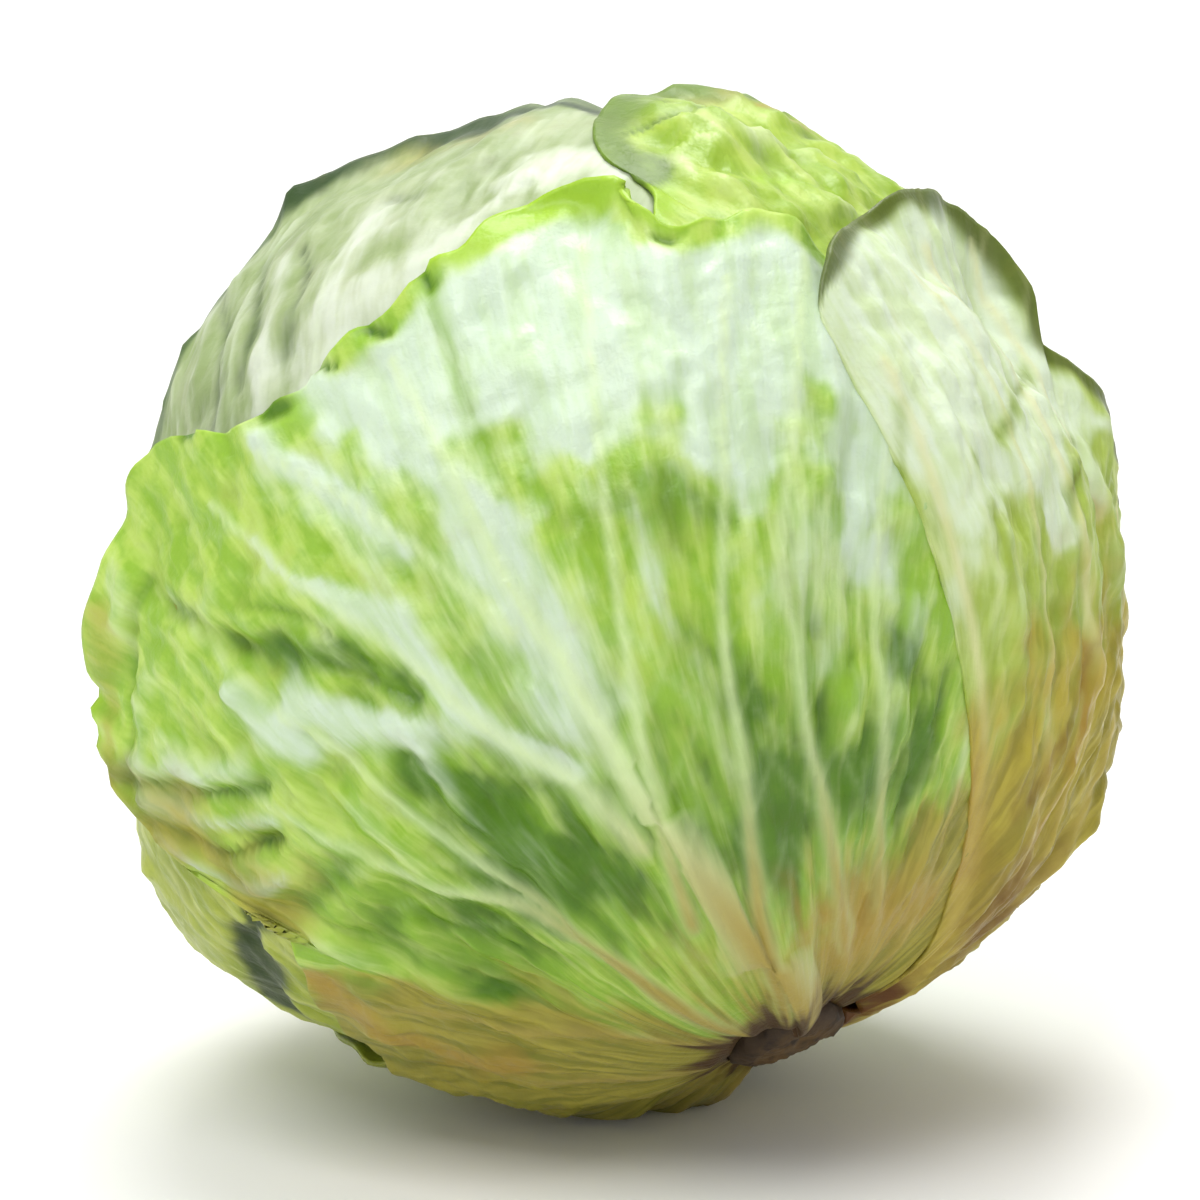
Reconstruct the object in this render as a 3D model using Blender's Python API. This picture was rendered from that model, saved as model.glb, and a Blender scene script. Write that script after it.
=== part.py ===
"""Iceberg lettuce head: a firm heart, its cut stem and nine wrapper leaves, tipped over to lie on one side.

Each leaf is drawn as a flat pattern round the stem, in bearing and reach, and is wrapped on the head. A leaf
rides over the leaves that lie under it, so no two of them touch.
"""

import math
from dataclasses import dataclass

import bmesh
import bpy
import numpy as np

# Sizes in metres
HEART_RADIUS = 0.0704
FIRST_GAP = 0.0012
LEAF_PITCH = 0.0022
LEAF_THICKNESS = 0.0009
STEM_RADIUS = 0.0095
STEM_LENGTH = 0.0032
STEM_CHAMFER = 0.0022
STEM_CHAMFER_DEPTH = 0.0014
STEM_DOME = 0.0050
STEM_DOME_DEPTH = 0.0004
STEM_DIP = 0.0030
STEP_WIDTH = 0.0110
STEP_MARGIN = 0.0020
RIB_HEIGHT = 0.0030
RIB_WIDTH = 0.0050
PLEAT_HEIGHT = 0.0015
RIM_WIDTH = 0.0150
INNER_LEAF_STEP = 0.0017
CENTRE_HEIGHT = 0.0790
CENTRE_X = -0.0012
CENTRE_Y = 0.0008
ARC = math.radians(1.0) * CENTRE_HEIGHT

# Angles in degrees: the head's tilt and where its stem turns to, then distances over its surface
TILT = 41.5
HEADING = -59.2
STEM_DIP_ANGLE = 16.0
STEM_LEAN = 9.0
STEM_LEAN_TOWARDS = -175.4
STEM_LEAN_SPREAD = 24.0
STEM_CLEAR = 11.5
PRESSED_ANGLE = 17.0
PRESSED_FADE = 8.0
WAVE_START = 25.0
WAVE_FADE = 20.0
RIB_REACH = 126.0
INNER_LEAF_EDGE = 7.0

# Shares of the way from the stem to the rim
RIB_START = 0.10
PLEAT_START = 0.15
PLEAT_END = 0.97
PLEAT_FADE = 0.20
END_DENSITY = 0.25

COLUMNS_PER_PLEAT = 4
HEART_MERIDIANS = 34
HEART_RINGS = 20
RIM_STEPS = 8
STEM_SIDES = 28
SHARP_ANGLE = math.radians(50.0)

# Swellings of the whole head: degrees from the stem, degrees round it, height, spread in degrees
SWELLINGS = (
    (148.0, -38.0, 0.0030, 30.0),
    (136.0, 65.0, 0.0050, 24.0),
    (34.0, 160.0, -0.0045, 20.0),
    (46.0, 118.0, 0.0020, 20.0),
    (78.0, -93.0, 0.0105, 20.0),
    (36.0, -135.0, 0.0035, 26.0),
    (114.0, 84.0, 0.0025, 16.0),
    (75.0, 170.0, 0.0020, 30.0),
    (20.0, 0.0, 0.0035, 14.0),
    (12.0, -165.0, -0.0050, 14.0),
    (94.0, 76.0, -0.0050, 9.0),
    (139.0, 23.0, 0.0020, 12.0),
)

# Inner leaves whose edges show on the heart: middle from the stem, middle round it, half width in degrees
INNER_LEAVES = ((105.0, -160.0, 78.0), (105.0, 80.0, 72.0), (105.0, -40.0, 76.0), (60.0, 140.0, 70.0))


@dataclass(frozen=True)
class Leaf:
    """One wrapper leaf. The rim is its free margin, from left to right, in (bearing, reach) degrees."""

    name: str
    azimuth: float
    centre: float
    base: tuple
    rim: tuple
    bend: float = 1.0
    base_reach: float = 11.5
    columns: int = 28
    rows: int = 12
    flare: tuple = ((0.0, 0.0010), (1.0, 0.0010))
    wave: float = 0.0016
    waves: float = 7.0
    colour: str = "8DB84A"


# From the inside out: each leaf lies over the ones before it
LEAVES = (
    Leaf(
        "crown_leaf",
        azimuth=166.0,
        centre=105.0,
        base=(-52.0, 52.0),
        rim=(
            (-47, 90), (-42, 118), (-32, 150), (-18, 182), (-4, 204),
            (8, 206), (20, 184), (33, 150), (42, 118), (47, 90),
        ),
        base_reach=17.0,
        rows=16,
        flare=((0.0, 0.0006), (0.5, 0.0010), (1.0, 0.0006)),
        wave=0.0008,
        colour="A8CC66",
    ),
    Leaf(
        "upper_left_leaf",
        azimuth=-38.0,
        centre=76.0,
        base=(-50.0, 50.0),
        rim=(
            (-46, 78), (-32, 98), (-14, 112), (-5, 120), (0, 134),
            (4, 149), (14, 156), (27, 150), (38, 128), (46, 98),
        ),
        flare=((0.0, 0.0008), (0.35, 0.0022), (0.6, 0.0014), (1.0, 0.0006)),
        wave=0.0010,
        colour="B9D68A",
    ),
    Leaf(
        "top_leaf",
        azimuth=60.0,
        centre=80.0,
        base=(-46.0, 46.0),
        rim=(
            (-42, 78), (-30, 97), (-19, 110), (-16, 120), (-13, 131), (-8, 140),
            (0, 138), (5, 131), (10, 122), (18, 116), (30, 106), (42, 88),
        ),
        flare=((0.0, 0.0006), (0.3, 0.0018), (0.6, 0.0026), (1.0, 0.0008)),
        wave=0.0024,
        waves=9.0,
        colour="A9CC4B",
    ),
    Leaf(
        "back_leaf",
        azimuth=-178.0,
        centre=62.0,
        base=(-48.0, 48.0),
        rim=((-46, 72), (-40, 94), (-24, 112), (-8, 118), (6, 112), (18, 117), (32, 103), (44, 76)),
        flare=((0.0, 0.0010), (0.4, 0.0030), (0.6, 0.0018), (1.0, 0.0010)),
        wave=0.0022,
        colour="9CC05A",
    ),
    Leaf(
        "back_right_leaf",
        azimuth=132.0,
        centre=65.0,
        base=(-48.0, 48.0),
        rim=((-44, 78), (-36, 100), (-16, 117), (6, 121), (24, 112), (38, 96), (46, 74)),
        flare=((0.0, 0.0008), (0.5, 0.0026), (1.0, 0.0010)),
        wave=0.0020,
        colour="94B850",
    ),
    Leaf(
        "left_leaf",
        azimuth=-106.0,
        centre=60.0,
        base=(-46.0, 46.0),
        rim=((-44, 76), (-32, 97), (-12, 109), (8, 113), (24, 113), (38, 101), (47, 78)),
        flare=((0.0, 0.0010), (0.5, 0.0024), (1.0, 0.0008)),
        wave=0.0016,
        colour="9AAE46",
    ),
    Leaf(
        "under_leaf",
        azimuth=-152.0,
        centre=50.0,
        base=(-52.0, 52.0),
        rim=((-52, 46), (-44, 66), (-28, 80), (-6, 85), (16, 80), (34, 68), (48, 50)),
        columns=24,
        rows=8,
        flare=((0.0, 0.0014), (0.5, 0.0020), (1.0, 0.0006)),
        wave=0.0012,
        waves=6.0,
        colour="A39A45",
    ),
    Leaf(
        "front_leaf",
        azimuth=-6.0,
        centre=60.0,
        base=(-106.0, 94.0),
        rim=(
            (-106, 28), (-98, 45), (-84, 57), (-66, 61), (-54, 61), (-48, 65),
            (-46, 76), (-44, 91), (-41, 103), (-35, 109), (-28, 108), (-24, 115),
            (-17, 107), (-9, 103), (-2, 104), (3, 108), (9, 113), (15, 114),
            (18, 107), (22, 107), (27, 115), (34, 106), (46, 98), (58, 84), (68, 62), (74, 42),
        ),
        bend=2.5,
        columns=46,
        rows=11,
        flare=(
            (0.0, 0.0008), (0.15, 0.0012), (0.26, 0.0034), (0.36, 0.0040),
            (0.48, 0.0026), (0.56, 0.0022), (0.75, 0.0016), (1.0, 0.0004),
        ),
        wave=0.0012,
        waves=12.0,
        colour="86B34B",
    ),
    Leaf(
        "right_leaf",
        azimuth=95.0,
        centre=60.0,
        base=(-4.0, 82.0),
        rim=(
            (-38, 78), (-37, 92), (-33, 104), (-23, 112), (-16, 114), (-13, 108), (-10, 98),
            (-7, 90), (-3, 90), (3, 89), (9, 83), (16, 81), (28, 80), (42, 70), (52, 52),
        ),
        bend=3.0,
        columns=36,
        rows=11,
        flare=(
            (0.0, 0.0004), (0.12, 0.0010), (0.22, 0.0056), (0.34, 0.0064),
            (0.42, 0.0020), (0.52, 0.0036), (0.7, 0.0030), (1.0, 0.0010),
        ),
        wave=0.0010,
        waves=8.0,
        colour="A6B44F",
    ),
)


def smooth_step(value):
    """0 below 0, 1 above 1 and a smooth rise between them."""
    clipped = np.clip(value, 0.0, 1.0)
    return clipped * clipped * (3.0 - 2.0 * clipped)


def from_stem(theta, phi):
    """Unit vectors theta degrees from the stem and phi degrees round it, with the crown at +Z."""
    theta, phi = np.radians(theta), np.radians(phi)
    parts = np.sin(theta) * np.cos(phi), np.sin(theta) * np.sin(phi), -np.cos(theta)
    return np.stack(np.broadcast_arrays(*parts), axis=-1)


def tipping_matrix():
    """Turns the upright head so that its stem points down, to the right and to the front."""
    tilt, heading = math.radians(TILT), math.radians(HEADING)
    stem = np.array(
        (math.sin(tilt) * math.cos(heading), math.sin(tilt) * math.sin(heading), -math.cos(tilt))
    )
    front = np.array((0.0, -1.0, 0.0))
    front -= front.dot(stem) * stem
    front /= np.linalg.norm(front)
    return np.column_stack((front, np.cross(-stem, front), -stem))


TIPPED = tipping_matrix()
DOWN = TIPPED.T @ np.array((0.0, 0.0, -1.0))


def pattern_axes(leaf):
    """Middle of the flat pattern on the head, the way across it and the way from the stem to the tip."""
    phi = math.radians(leaf.azimuth)
    middle = from_stem(leaf.centre, leaf.azimuth)
    along = from_stem(leaf.centre + 90.0, leaf.azimuth)
    return middle, np.array((-math.sin(phi), math.cos(phi), 0.0)), along


def wrap(leaf, flat):
    """Directions of points of the flat pattern, whose unit is a degree of arc."""
    middle, across, along = pattern_axes(leaf)
    x, y = flat[..., 0], flat[..., 1] - leaf.centre
    far = np.radians(np.hypot(x, y)) + 1e-12
    turn = np.arctan2(x, y)
    sideways = np.sin(turn)[..., None] * across + np.cos(turn)[..., None] * along
    return np.cos(far)[..., None] * middle + np.sin(far)[..., None] * sideways


def unwrap(leaf, directions):
    """Points of the flat pattern for directions, the inverse of wrap."""
    middle, across, along = pattern_axes(leaf)
    far = np.degrees(np.arccos(np.clip(directions @ middle, -1.0, 1.0)))
    turn = np.arctan2(directions @ across, directions @ along)
    return np.stack((far * np.sin(turn), far * np.cos(turn) + leaf.centre), axis=-1)


def flat_point(bearing, reach):
    """A point of the flat pattern from its bearing off the midrib and its reach from the stem."""
    bearing = np.radians(bearing)
    return np.stack((reach * np.sin(bearing), reach * np.cos(bearing)), axis=-1)


def rim_curve(leaf):
    """Smooth (bearing, reach) curve through the rim's points, and its place from 0 to 1 along it."""
    points = np.array(leaf.rim, float)
    ends = np.vstack((2 * points[0] - points[1], points, 2 * points[-1] - points[-2]))
    t = np.linspace(0.0, 1.0, RIM_STEPS, endpoint=False)[:, None]
    pieces = []
    for a, b, c, d in zip(ends, ends[1:], ends[2:], ends[3:]):
        bow = (2 * a - 5 * b + 4 * c - d) * t**2 + (3 * b - a - 3 * c + d) * t**3
        pieces.append(b + 0.5 * ((c - a) * t + bow))
    curve = np.vstack(pieces + [points[-1:]])
    length = np.linalg.norm(np.diff(flat_point(*curve.T), axis=0), axis=1)
    sweep = np.abs(np.diff(curve[:, 0]))
    share = 0.6 * length / length.sum() + 0.4 * sweep / sweep.sum()
    return curve, np.concatenate(((0.0,), np.cumsum(share)))


def fan(leaf, u, v):
    """Flat points at u across the leaf, from its left side to its right, and v from stem to rim."""
    curve, place = rim_curve(leaf)
    bearing = np.interp(u, place, curve[:, 0])
    reach = np.interp(u, place, curve[:, 1])
    base = leaf.base[0] + (leaf.base[1] - leaf.base[0]) * u
    swing = bearing + (base - bearing) * (1.0 - v) ** leaf.bend
    return flat_point(swing, leaf.base_reach + (reach - leaf.base_reach) * v)


def free_margin(leaf):
    """Polyline of the free margin in the flat pattern: up the left side, along the rim, down the right."""
    side = np.linspace(0.0, 1.0, RIM_STEPS, endpoint=False)
    across = np.linspace(0.0, 1.0, 10 * RIM_STEPS)
    left = fan(leaf, np.zeros_like(side), side)
    right = fan(leaf, np.ones_like(side), side)[::-1]
    return np.vstack((left, fan(leaf, across, np.ones_like(across)), right))


def distance_to(polyline, points):
    """Shortest distance from each flat point to the polyline."""
    a, b = polyline[:-1], polyline[1:]
    step = b - a
    offset = points[:, None, :] - a
    t = np.clip((offset * step).sum(-1) / ((step * step).sum(-1) + 1e-12), 0.0, 1.0)
    return np.linalg.norm(offset - t[..., None] * step, axis=-1).min(axis=1)


def inside(polygon, points):
    """Whether each flat point is inside the polygon."""
    ax, ay = polygon.T
    bx, by = np.roll(polygon, -1, axis=0).T
    x, y = points[:, :1], points[:, 1:]
    spans = (ay > y) != (by > y)
    rise = np.where(by == ay, 1.0, by - ay)
    return (spans & (x < (bx - ax) * (y - ay) / rise + ax)).sum(axis=1) % 2 == 1


def outside_distance(leaf, directions):
    """How far directions lie outside the leaf, in metres: 0 inside it."""
    points = unwrap(leaf, directions)
    margin = free_margin(leaf)
    away = distance_to(margin, points)
    within = inside(np.vstack((margin, ((0.0, 0.0),))), points)
    return np.where(within, 0.0, away) * ARC


def covered(leaf, directions, spare=STEP_MARGIN):
    """1 where the leaf is and a spare width round it, falling to 0 a step's width outside that."""
    away = outside_distance(leaf, directions)
    return 1.0 - smooth_step((away - spare) / STEP_WIDTH)


def angle_between(directions, axis):
    """Degrees between each direction and the axis."""
    return np.degrees(np.arccos(np.clip(directions @ axis, -1.0, 1.0)))


def head_radius(directions):
    """Radius of the head under its wrapper leaves."""
    radius = np.full(len(directions), HEART_RADIUS)
    for theta, phi, height, spread in SWELLINGS:
        off = angle_between(directions, from_stem(theta, phi))
        radius += height * np.exp(-((off / spread) ** 2))
    from_pole = angle_between(directions, from_stem(0.0, 0.0))
    return radius - STEM_DIP * np.exp(-((from_pole / STEM_DIP_ANGLE) ** 2))


def layer_radius(count, directions):
    """Radius of the first free surface over the innermost leaves, as many as count says."""
    radius = head_radius(directions) + FIRST_GAP
    for leaf in LEAVES[:count]:
        radius += LEAF_PITCH * covered(leaf, directions)
    return radius


def leaning(directions):
    """Directions once the stem leans off the head's axis, with the leaf bases that stand round it."""
    from_pole = angle_between(directions, from_stem(0.0, 0.0))
    lean = math.tan(math.radians(STEM_LEAN)) * np.exp(-((from_pole / STEM_LEAN_SPREAD) ** 2))
    leant = directions + lean[:, None] * from_stem(90.0, STEM_LEAN_TOWARDS)
    return leant / np.linalg.norm(leant, axis=1)[:, None]


def pressed_scale(directions):
    """Shrinks what would be lower than the table, so that the head lies on a flat spot."""
    top = layer_radius(len(LEAVES), directions) - LEAF_PITCH + LEAF_THICKNESS
    drop = top * (leaning(directions) @ DOWN)
    return np.where(drop > CENTRE_HEIGHT, CENTRE_HEIGHT / np.maximum(drop, CENTRE_HEIGHT), 1.0)


def place(directions, radius):
    """Points of the lying head for directions and radii of the upright one."""
    head = leaning(directions) * (radius * pressed_scale(directions))[:, None]
    return head @ TIPPED.T + np.array((CENTRE_X, CENTRE_Y, CENTRE_HEIGHT))


def leaf_relief(leaf, index, u, v, flat, directions):
    """Outward wave of the whole leaf and extra height of its ribs' outer side, in metres."""
    over = np.zeros(len(directions))
    for cover in LEAVES[index + 1:]:
        over = np.maximum(over, covered(cover, directions))
    pressed = 1.0 - smooth_step((angle_between(directions, DOWN) - PRESSED_ANGLE) / PRESSED_FADE)
    free = (1.0 - over) * (1.0 - pressed)
    reach = np.hypot(flat[:, 0], flat[:, 1])
    rim = np.clip(1.0 - distance_to(free_margin(leaf), flat) * ARC / RIM_WIDTH, 0.0, 1.0) ** 1.5
    rim *= smooth_step((reach - WAVE_START) / WAVE_FADE)
    flare = np.interp(u, *zip(*leaf.flare))
    ripple = 0.5 + 0.5 * np.cos(2.0 * math.pi * leaf.waves * u)
    pleats = 0.5 + 0.5 * np.cos(2.0 * math.pi * leaf.columns / COLUMNS_PER_PLEAT * u)
    pleats *= smooth_step((v - PLEAT_START) / PLEAT_FADE) * smooth_step((PLEAT_END - v) / PLEAT_FADE)
    midrib = np.exp(-((flat[:, 0] * ARC / RIB_WIDTH) ** 2)) * np.clip(1.0 - reach / RIB_REACH, 0.0, 1.0)
    wave = (flare + leaf.wave * ripple) * rim + PLEAT_HEIGHT * pleats
    return wave * free, RIB_HEIGHT * midrib * free * smooth_step(v / RIB_START)


def principled(name, colour, roughness):
    """A Principled material in an sRGB hex colour."""
    material = bpy.data.materials.new(name)
    material.use_nodes = True
    shader = material.node_tree.nodes["Principled BSDF"]
    channels = [int(colour[i:i + 2], 16) / 255.0 for i in (0, 2, 4)]
    linear = [c / 12.92 if c <= 0.04045 else ((c + 0.055) / 1.055) ** 2.4 for c in channels]
    shader.inputs["Base Color"].default_value = (*linear, 1.0)
    shader.inputs["Roughness"].default_value = roughness
    shader.inputs["Metallic"].default_value = 0.0
    return material


def add_object(name, bm, colour, roughness=0.45):
    """Makes an object of the bmesh, smooth shaded, with its faces pointing out."""
    if bm.calc_volume(signed=True) < 0.0:
        bmesh.ops.reverse_faces(bm, faces=bm.faces)
    mesh = bpy.data.meshes.new(name)
    bm.to_mesh(mesh)
    bm.free()
    mesh.shade_smooth()
    mesh.set_sharp_from_angle(angle=SHARP_ANGLE)
    mesh.materials.append(principled(name, colour, roughness))
    obj = bpy.data.objects.new(name, mesh)
    bpy.context.scene.collection.objects.link(obj)
    return obj


def move_points(verts, points):
    """Puts the bmesh vertices at the points."""
    for vert, point in zip(verts, points):
        vert.co = point


def build_leaf(index, leaf):
    """A thin closed leaf: two sheets split into triangles alike, joined round their edges."""
    bm = bmesh.new()
    bmesh.ops.create_grid(bm, x_segments=leaf.columns, y_segments=leaf.rows, size=0.5)
    bmesh.ops.triangulate(bm, faces=bm.faces, quad_method="FIXED")
    grid = np.array([vert.co[:] for vert in bm.verts]) + 0.5
    u = grid[:, 0]
    v = grid[:, 1] - END_DENSITY * np.sin(2.0 * math.pi * grid[:, 1]) / (2.0 * math.pi)
    flat = fan(leaf, u, v)
    directions = wrap(leaf, flat)
    wave, rib = leaf_relief(leaf, index, u, v, flat, directions)
    inner = layer_radius(index, directions) + wave
    outer_verts = list(bm.verts)
    copy = bmesh.ops.duplicate(bm, geom=list(bm.verts) + list(bm.edges) + list(bm.faces))
    inner_verts = [item for item in copy["geom"] if isinstance(item, bmesh.types.BMVert)]
    inner_faces = [item for item in copy["geom"] if isinstance(item, bmesh.types.BMFace)]
    bmesh.ops.reverse_faces(bm, faces=inner_faces)
    move_points(outer_verts, place(directions, inner + LEAF_THICKNESS + rib))
    move_points(inner_verts, place(directions, inner))
    border = [edge for edge in bm.edges if edge.is_boundary]
    rim = bmesh.ops.bridge_loops(bm, edges=border)
    bmesh.ops.triangulate(bm, faces=rim["faces"])
    bmesh.ops.recalc_face_normals(bm, faces=bm.faces)
    return add_object(leaf.name, bm, leaf.colour)


def build_heart():
    """The dense inner head, stepped where the edges of its inner leaves lie."""
    bm = bmesh.new()
    bmesh.ops.create_uvsphere(bm, u_segments=HEART_MERIDIANS, v_segments=HEART_RINGS, radius=1.0)
    bmesh.ops.triangulate(bm, faces=bm.faces)
    directions = np.array([vert.co[:] for vert in bm.verts])
    directions /= np.linalg.norm(directions, axis=1)[:, None]
    radius = head_radius(directions)
    for theta, phi, half in INNER_LEAVES:
        past = angle_between(directions, from_stem(theta, phi)) - half
        radius -= INNER_LEAF_STEP * smooth_step(past / INNER_LEAF_EDGE)
    move_points(bm.verts, place(directions, radius))
    return add_object("heart", bm, "B4D280")


def build_stem():
    """The cut butt: a short round column with a slightly domed, chamfered face."""
    inner = float(head_radius(from_stem(STEM_CLEAR, 0.0)[None])[0]) * math.cos(math.radians(STEM_CLEAR))
    inner += FIRST_GAP
    bm = bmesh.new()
    bmesh.ops.create_cone(
        bm,
        cap_ends=True,
        segments=STEM_SIDES,
        radius1=STEM_RADIUS,
        radius2=STEM_RADIUS,
        depth=STEM_LENGTH,
    )
    cut = [face for face in bm.faces if face.normal.z < -0.9]
    bmesh.ops.inset_region(bm, faces=cut, thickness=STEM_CHAMFER, depth=STEM_CHAMFER_DEPTH)
    bmesh.ops.inset_region(bm, faces=cut, thickness=STEM_DOME, depth=STEM_DOME_DEPTH)
    bmesh.ops.triangulate(bm, faces=bm.faces)
    upright = np.array([vert.co[:] for vert in bm.verts])
    upright[:, 2] -= inner + STEM_LENGTH / 2.0
    axis = leaning(from_stem(0.0, 0.0)[None])[0]
    side = np.cross(axis, from_stem(90.0, STEM_LEAN_TOWARDS))
    side /= np.linalg.norm(side)
    leant = upright @ np.column_stack((np.cross(side, axis), side, -axis)).T
    tipped = leant @ TIPPED.T + np.array((CENTRE_X, CENTRE_Y, CENTRE_HEIGHT))
    move_points(bm.verts, tipped)
    return add_object("stem", bm, "8A6A3C", 0.7)


def main():
    """Clears the scene and builds the head from the inside out."""
    for obj in list(bpy.data.objects):
        bpy.data.objects.remove(obj, do_unlink=True)
    build_heart()
    build_stem()
    for index, leaf in enumerate(LEAVES):
        build_leaf(index, leaf)


main()
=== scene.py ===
"""Iceberg lettuce head: the looks of its leaves, heart and cut stem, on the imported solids.

Each leaf is drawn as a flat pattern round the stem, in bearing and reach, and is wrapped on the head, with
the sizes of its solid. Here it also gets ribs, blisters, frills and rolled margins, and the zones that its
colours follow.
"""

import logging
import math
from dataclasses import dataclass, field
from enum import Enum

import bmesh
import bpy
import numpy as np
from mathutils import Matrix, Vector, kdtree, noise

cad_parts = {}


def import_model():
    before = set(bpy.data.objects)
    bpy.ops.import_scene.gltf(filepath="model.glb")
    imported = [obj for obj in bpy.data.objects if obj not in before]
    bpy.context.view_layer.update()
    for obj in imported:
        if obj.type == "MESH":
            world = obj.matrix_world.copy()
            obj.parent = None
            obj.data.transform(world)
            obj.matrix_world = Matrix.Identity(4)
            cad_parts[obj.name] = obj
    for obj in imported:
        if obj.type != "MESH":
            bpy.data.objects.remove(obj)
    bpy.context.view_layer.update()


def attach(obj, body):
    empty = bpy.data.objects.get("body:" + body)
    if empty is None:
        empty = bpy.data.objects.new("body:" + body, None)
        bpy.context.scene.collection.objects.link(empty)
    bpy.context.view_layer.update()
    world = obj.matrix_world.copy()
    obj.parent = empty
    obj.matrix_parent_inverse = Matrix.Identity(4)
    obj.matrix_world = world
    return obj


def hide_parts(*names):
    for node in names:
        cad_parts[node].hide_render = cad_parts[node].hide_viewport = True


LOG = logging.getLogger("lettuce")
BODY = "root"
RANDOM_SEED = 20

# The map of a leaf's flat pattern, and the metres of leaf across it
PATTERN_MAP = "leaf_pattern"
PATTERN_SPAN = 0.4
# Attributes of the surface: the place that streaks are drawn in, and the distance from the stem's axis
RADIAL = "radial"
FROM_AXIS = "from_axis"
# Degrees of arc between the points of margins, veins and creases
LINE_STEP = 0.3

Curve = tuple[tuple[float, float], ...]


class Zone(Enum):
    """The zones of a leaf that its colours follow. Each is a point attribute from 0 to 1."""

    RIB = "zone_rib"
    # Pale: whitish thin blade, and painted highlights on ridges, folds and ribs
    PALE = "zone_pale"
    # Dark: deep green tissue, and painted shade in hollows, creases, dimples and the slit
    DARK = "zone_dark"
    RIM = "zone_rim"
    # Aged: yellowed tissue near the stem, also painted shade of the head's lower side
    AGED_AND_SHADE = "zone_aged_and_shade"
    TAN = "zone_tan"
    # Browned: browned tissue at the stem, also painted shade of the underside
    BROWNED_AND_SHADE = "zone_browned_and_shade"


class Seed(Enum):
    """Which pattern of noise each kind of unevenness takes. A leaf adds its index to most of them."""

    DRIFT = 3.0
    STEM = 5.0
    FRILL = 8.0
    PLEAT = 11.0
    UNEVEN = 21.0
    RAGGED = 31.0
    CRINKLE = 51.0


class Texture(Enum):
    """The noises in a leaf's material: blotches, streaks along its veins, crepe of its skin and grain."""

    MOTTLE = "mottle"
    STREAK = "streak"
    CREPE = "crepe"
    GRAIN = "grain"


def smooth_step(value: np.ndarray) -> np.ndarray:
    """0 below 0, 1 above 1 and a smooth rise between them."""
    clipped = np.clip(value, 0.0, 1.0)
    return clipped * clipped * (3.0 - 2.0 * clipped)


def bell(away: np.ndarray) -> np.ndarray:
    """1 at no distance, falling smoothly to a third at a distance of 1 and to nothing past 2."""
    return np.exp(-(away**2))


def read_curve(points: Curve, places: np.ndarray) -> np.ndarray:
    """The values at some places of a curve that is given as (place, value) pairs, straight between them."""
    return np.interp(places, *zip(*points))


def wobble(points: np.ndarray, size: float, octaves: int = 3, seed: float = 0.0) -> np.ndarray:
    """Smooth noise from about -1 to 1.

    Args:
        points: places in one to three dimensions, one a row.
        size: width of its largest features, in the unit of the points.
        octaves: how many finer layers it adds.
        seed: a number that picks another pattern.

    Returns:
        One value for each point.
    """
    scaled = np.full((len(points), 3), seed)
    scaled[:, :points.shape[1]] += points / size
    return np.array([2.0 * noise.fractal(point, 1.0, 2.0, octaves) for point in scaled.tolist()])


def smooth_curve(points: Curve, steps: int) -> np.ndarray:
    """A Catmull-Rom curve through the points.

    Args:
        points: what it passes through.
        steps: how many pieces each span is cut into.

    Returns:
        The points of the curve, one a row.
    """
    fixed = np.array(points, float)
    ends = np.vstack((2 * fixed[0] - fixed[1], fixed, 2 * fixed[-1] - fixed[-2]))
    t = np.linspace(0.0, 1.0, steps, endpoint=False)[:, None]
    pieces = []
    for a, b, c, d in zip(ends, ends[1:], ends[2:], ends[3:]):
        bow = (2 * a - 5 * b + 4 * c - d) * t**2 + (3 * b - a - 3 * c + d) * t**3
        pieces.append(b + 0.5 * ((c - a) * t + bow))
    return np.vstack(pieces + [fixed[-1:]])


def resample(line: np.ndarray) -> np.ndarray:
    """Points about LINE_STEP apart along a line.

    Args:
        line: the line's own points.

    Returns:
        The new points, from its start to its end.
    """
    length = np.concatenate(((0.0,), np.cumsum(np.linalg.norm(np.diff(line, axis=0), axis=1))))
    places = np.linspace(0.0, length[-1], max(2, int(length[-1] / LINE_STEP) + 1))
    return np.column_stack([np.interp(places, length, column) for column in line.T])


def flat_point(bearing: np.ndarray, reach: np.ndarray) -> np.ndarray:
    """Points of the flat pattern from their bearing off the midrib and reach from the stem, in degrees."""
    turn = np.radians(bearing)
    return np.stack((reach * np.sin(turn), reach * np.cos(turn)), axis=-1)


def from_stem(theta: np.ndarray | float, phi: np.ndarray | float) -> np.ndarray:
    """Directions on the upright head, whose crown is at +Z.

    Args:
        theta: degrees from the stem.
        phi: degrees round it.

    Returns:
        Unit vectors.
    """
    theta, phi = np.radians(theta), np.radians(phi)
    parts = np.sin(theta) * np.cos(phi), np.sin(theta) * np.sin(phi), -np.cos(theta)
    return np.stack(np.broadcast_arrays(*parts), axis=-1)


def angle_between(directions: np.ndarray, axis: np.ndarray) -> np.ndarray:
    """Degrees between each direction and the axis."""
    return np.degrees(np.arccos(np.clip(directions @ axis, -1.0, 1.0)))


def tree_of(points: np.ndarray) -> kdtree.KDTree:
    """A search tree.

    Args:
        points: flat points, one a row.

    Returns:
        The tree, which knows each point by its row.
    """
    tree = kdtree.KDTree(len(points))
    for index, (x, y) in enumerate(points.tolist()):
        tree.insert((x, y, 0.0), index)
    tree.balance()
    return tree


def nearest(tree: kdtree.KDTree, points: np.ndarray) -> tuple[np.ndarray, np.ndarray]:
    """Which tree point is nearest to each flat point.

    Args:
        tree: the points that are looked among.
        points: flat points, one a row.

    Returns:
        The index of the nearest one, and how far it is.
    """
    found = [tree.find((x, y, 0.0))[1:] for x, y in points.tolist()]
    index, away = zip(*found)
    return np.array(index), np.array(away)


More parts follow.
